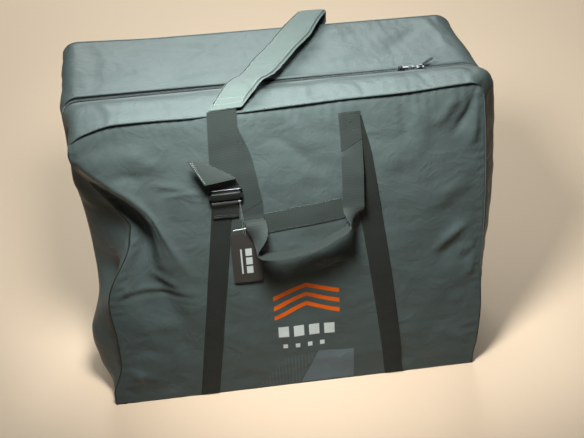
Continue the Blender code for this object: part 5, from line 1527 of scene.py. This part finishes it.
def shoulder_webs_rear():
    """The web from the pad's rear end down the back, and its sewn end."""
    start = np.array(PAD_REAR) + (0.0, 0.0135, -0.034 - SEAM_GAP)
    foot = HALF_D + LOAD_DEPTH
    route = [(start[1], start[2]), (start[1], start[2] - 0.006), (0.5 * (start[1] + foot), 0.655),
             (foot + 0.001, 0.635), (foot, 0.605), (foot, 0.582), (foot, ANCHOR_HEAD_Z + SEAM_GAP)]
    web_along("shoulder_web_rear_web", [(start[0], y, z) for y, z in route], UPRIGHT, SHOULDER_W,
              PALE_WEB_MAT, "shoulder_strap", ["shoulder_web_rear"])
    path = [(PAD_REAR[0], foot, z) for z in np.linspace(ANCHOR_FOOT_Z, ANCHOR_HEAD_Z, 16)]
    left, right, _ = web_along("shoulder_anchor_web", path, UPRIGHT, SHOULDER_W, PALE_WEB_MAT, "rear_shell",
                               ["shoulder_anchor"])
    a, b = left[1:-1] - OUT * ON_TOP, right[1:-1] - OUT * ON_TOP
    runs = [(a + (b - a) * share, -OUT) for share in (0.07, 0.93)]
    for p0, p1 in ((a[0], b[0]), (a[-1], b[-1]), (a[0], b[-1]), (a[-1], b[0])):
        runs.append((np.linspace(p0 * 0.93 + p1 * 0.07, p0 * 0.07 + p1 * 0.93, 20), -OUT))
    stitches("anchor_stitches", runs, STITCH_MAT, "rear_shell")


shoulder_webs_rear()

# %% [markdown]
# ## Frame and bar of the buckle
# The frame is bent wire and the bar is moulded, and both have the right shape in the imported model. They get
# a finish, and the frame is shaded smooth.

# %% Finish of the buckle
dress("buckle_frame", METAL_MAT)
dress("buckle_bar", PLASTIC_MAT, 0.0006)
for polygon in frame["nodes"]["buckle_frame"].data.polygons:
    polygon.use_smooth = True
print("buckle: its frame and bar keep their packed shape")

# %% [markdown]
# ## The tag
# A card hangs from the buckle by a thin thread. The real card is printed; here three pale blocks and a bar
# stand in for its print, drawn on the card's own x and z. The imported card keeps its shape.

# %% The card
TAG_W, TAG_X, TAG_TOP_Z = 0.058, -0.0815, 0.436
CARD_DARK, CARD_LIGHT = (0.030, 0.027, 0.024), (0.040, 0.036, 0.032)


def printed_card(name):
    """Dark card with three plain pale blocks and a bar, placed on the card's own x and z."""
    mat, tree, shader = new_material(name, (0.034, 0.030, 0.027), 0.46, specular=0.3)
    spot = tree.nodes.new("ShaderNodeTexCoord").outputs["Object"]
    split = node(tree, "ShaderNodeSeparateXYZ", [("Vector", spot)])
    flat = [("X", split.outputs[0]), ("Y", split.outputs[2])]
    place = node(tree, "ShaderNodeCombineXYZ", flat).outputs[0]
    noise = node(tree, "ShaderNodeTexNoise", [("Vector", spot)], Scale=260.0, Detail=3.0)
    colour = mix_colour(tree, noise.outputs[0], CARD_DARK, CARD_LIGHT)
    left = TAG_X - TAG_W / 2
    marks = []
    for drop in (0.056, 0.078, 0.100):
        marks.append(bar(left + 0.027, TAG_TOP_Z - drop, left + 0.040, TAG_TOP_Z - drop, 0.018))
    marks.append(bar(left + 0.017, TAG_TOP_Z - 0.100, left + 0.0205, TAG_TOP_Z - 0.100, 0.062))
    share = calc(tree, "MULTIPLY", any_of(tree, place, marks), 0.60)
    tree.links.new(mix_colour(tree, share, colour, WHITE), shader.inputs["Base Color"])
    return mat


dress("hang_tag", printed_card("dark_card"))
print("tag:", TAG_W * 1000, "mm wide")

# %% [markdown]
# ## The tag's thread
# The thread is limp and hangs: up from the tag's eye, over the buckle's rail and down again, with a little
# bar tied across it. A curve object with a bevel could make it. A tube of points is used, because its route
# is then also what the cord's record says. The points are listed, and the bend over the rail is
# an arc.

# %% A round tube
def tube(name, path, radius, mat, body, nodes=(), axis=(1.0, 0.0, 0.0), sides=8):
    """A round tube along a path of placed points, which bends about an axis that it never runs along."""
    path = np.asarray(path, float)
    along = unit(np.gradient(path, axis=0))
    side = unit(np.cross(along, np.array(axis)))
    other = np.cross(along, side)
    turn = np.arange(sides) * 2 * math.pi / sides
    rings = side[:, None] * np.cos(turn)[None, :, None] + other[:, None] * np.sin(turn)[None, :, None]
    verts = (path[:, None, :] + radius * rings).reshape(-1, 3)
    faces = grid_faces(len(path), sides, wrap=True) + end_caps(len(path), sides)
    return make(name, verts, faces, mat, body, nodes)

# %% Thread and little bar
THREAD_D, THREAD_X, EYE_DEPTH = 0.0008, -0.0858, 0.0064
# x, depth from the eye's and z of the strand behind the card and of the strand in front of it
BACK_STRAND = ((-0.0832, -0.0012, 0.4300), (-0.0833, -0.0014, 0.4400), (-0.0835, -0.0010, 0.4500))
FRONT_STRAND = ((-0.0796, 0.0026, 0.4500), (-0.0798, 0.0022, 0.4400), (-0.0810, 0.0014, 0.4300))
# where the strands pass half way up to the rail
BACK_X, FRONT_X, HALF_WAY_Z = -0.0840, -0.0822, 0.4830


def thread_route():
    """Points of the thread, as x, depth and z, from the eye over the rail and down again."""
    over = RAIL_R + RAIL_CLEAR + THREAD_D / 2
    turn = np.radians(np.linspace(-84.0, 84.0, 9))
    shift = THREAD_X + np.linspace(0.0, 0.0008, 9)
    bend = np.stack([shift, RAIL_DEPTH + over * np.sin(turn), BUCKLE_Z + over * np.cos(turn)], axis=1)
    half = 0.5 * (EYE_DEPTH + RAIL_DEPTH)
    eye = np.array([0.0, EYE_DEPTH, 0.0])
    back = np.vstack([np.array(BACK_STRAND) + eye, (BACK_X, half - over, HALF_WAY_Z)])
    fore = np.vstack([(FRONT_X, half + over, HALF_WAY_Z), np.array(FRONT_STRAND) + eye])
    shares = np.array([0.04, 0.10, 0.22, 0.45])[:, None]
    up = bend[0] + (back[-1] - bend[0]) * shares[::-1]
    down = bend[-1] + (fore[0] - bend[-1]) * shares
    return np.concatenate([back, up, bend, down, fore])


def tag_thread():
    """One thin strand up from the tag, over the buckle's rail and down again, and its little bar."""
    knots = thread_route()
    path = slump(np.stack([knots[:, 0], front_y(knots[:, 1]), knots[:, 2]], axis=1))
    thread = tube("tag_thread", path, THREAD_D / 2, PALE_STITCH_MAT, "hang_tag", ["tag_cord"])
    share = np.linspace(0.0, 1.0, 12)
    bow = front_y(EYE_DEPTH + 0.0022) - 0.0008 * np.sin(math.pi * share)
    line = np.stack([-0.1035 + 0.0295 * share, bow, 0.4462 + 0.0030 * np.sqrt(share)], axis=1)
    little_bar = tube("tag_thread_bar", slump(line), 0.0005, THREAD_MAT, "hang_tag", axis=(0.0, 0.0, 1.0))


tag_thread()

# %% [markdown]
# ## The floor
# The bag stands on a pale, matt floor, which is only there to be looked at. A pale floor
# would light the bag from below more than the dark room of the photograph does, so the shader shows the
# camera a paler tone than it bounces.

# %% A floor that bounces less than it shows
def floor_material(pale, bounce):
    """A pale matt floor that lights the bag from below by a darker tone than it shows."""
    mat, tree, shader = new_material("pale_floor", pale, 0.6, specular=0.2)
    seen = tree.nodes.new("ShaderNodeLightPath").outputs
    mirrored = calc(tree, "MAXIMUM", seen["Is Glossy Ray"], seen["Is Transmission Ray"])
    share = calc(tree, "MAXIMUM", seen["Is Camera Ray"], mirrored)
    tree.links.new(mix_colour(tree, share, bounce, pale), shader.inputs["Base Color"])
    return mat


floor_mat = floor_material((0.72, 0.545, 0.395), (0.07, 0.06, 0.05))
bpy.ops.mesh.primitive_plane_add(size=12.0, location=(0.0, 0.0, -0.0004))
floor = bpy.context.object
floor.name = "floor"
floor.data.materials.append(floor_mat)
print("floor:", tuple(round(side, 1) for side in floor.dimensions), "m")

# %% [markdown]
# ## Light
# The photograph has one soft light close above the front, which fades towards the floor, and a window behind
# that lights the top. A spot with a soft rim gives the first and large softboxes the rest. The room
# itself is nearly dark and plain.

# %% Lamps and room
def area_light(name, place, target, size, power, colour=(1.0, 1.0, 1.0), kind="AREA"):
    """A soft light at place, aimed at target: a square softbox, or a spot that fades to its rim."""
    lamp = bpy.data.lights.new(name, kind)
    lamp.energy, lamp.color = power, colour
    if kind == "AREA":
        lamp.shape, lamp.size = "SQUARE", size
    obj = bpy.data.objects.new(name, lamp)
    bpy.context.scene.collection.objects.link(obj)
    obj.location = place
    aim = np.array(target, float) - np.array(place, float)
    obj.rotation_euler = (math.acos(-aim[2] / np.linalg.norm(aim)), 0.0, math.atan2(-aim[0], aim[1]))
    obj.visible_camera = False
    return lamp


key = area_light("key_above_front", (-0.12, -0.60, 1.38), (0.02, -0.10, 0.64), None, 150.0,
                 (0.96, 1.0, 0.99), "SPOT")
key.shadow_soft_size, key.spot_size, key.spot_blend = 0.14, math.radians(74.0), 1.0
area_light("window_behind", (0.1, 3.2, 3.0), (0.0, 0.0, 0.6), 2.6, 135.0, (0.92, 1.0, 1.0))
area_light("sky_above", (-0.4, 0.4, 3.2), (0.0, 0.0, 0.4), 2.4, 22.0, (0.95, 1.0, 1.0))
area_light("fill_left", (-2.6, -1.6, 1.6), (0.0, 0.0, 0.3), 1.6, 3.0, (0.97, 1.0, 0.98))
world = bpy.data.worlds.new("room")
world.use_nodes = True
world.node_tree.nodes["Background"].inputs[0].default_value = (0.90, 0.96, 0.98, 1.0)
world.node_tree.nodes["Background"].inputs[1].default_value = 0.04
scene = bpy.context.scene
scene.world = world
print("light:", len(bpy.data.lights), "lamps")

# %% [markdown]
# ## Camera
# The camera repeats the photograph's, which was solved from the edges of the bag: it looks down at the bag
# from a little to the left, and is rolled slightly. Its three axes are worked out from yaw, pitch and roll.

# %% The photograph's camera
PHOTO_W, PHOTO_H, FOCAL_PIXELS = 584, 438, 1190.0
SENSOR = 36.0
yaw, pitch, roll = math.radians(5.08), math.radians(37.1), math.radians(-3.62)
ahead = np.array([math.sin(yaw) * math.cos(pitch), math.cos(yaw) * math.cos(pitch), -math.sin(pitch)])
across_view = np.array([math.cos(yaw), -math.sin(yaw), 0.0])
above = np.cross(across_view, ahead)
right_view = across_view * math.cos(roll) + above * math.sin(roll)
up_view = -across_view * math.sin(roll) + above * math.cos(roll)
lens = bpy.data.cameras.new("photo_camera")
lens.sensor_width, lens.lens, lens.clip_end = SENSOR, SENSOR * FOCAL_PIXELS / PHOTO_W, 60.0
camera = bpy.data.objects.new("photo_camera", lens)
scene.collection.objects.link(camera)
matrix = mathutils.Matrix.Identity(4)
for k, column in enumerate((right_view, up_view, -ahead)):
    for row in range(3):
        matrix[row][k] = float(column[row])
matrix.translation = (-0.150, -2.005, 1.845)
camera.matrix_world = matrix
scene.camera = camera
scene.render.resolution_x, scene.render.resolution_y = PHOTO_W, PHOTO_H
scene.view_settings.view_transform = "Standard"
print("camera:", round(lens.lens, 1), "mm lens")
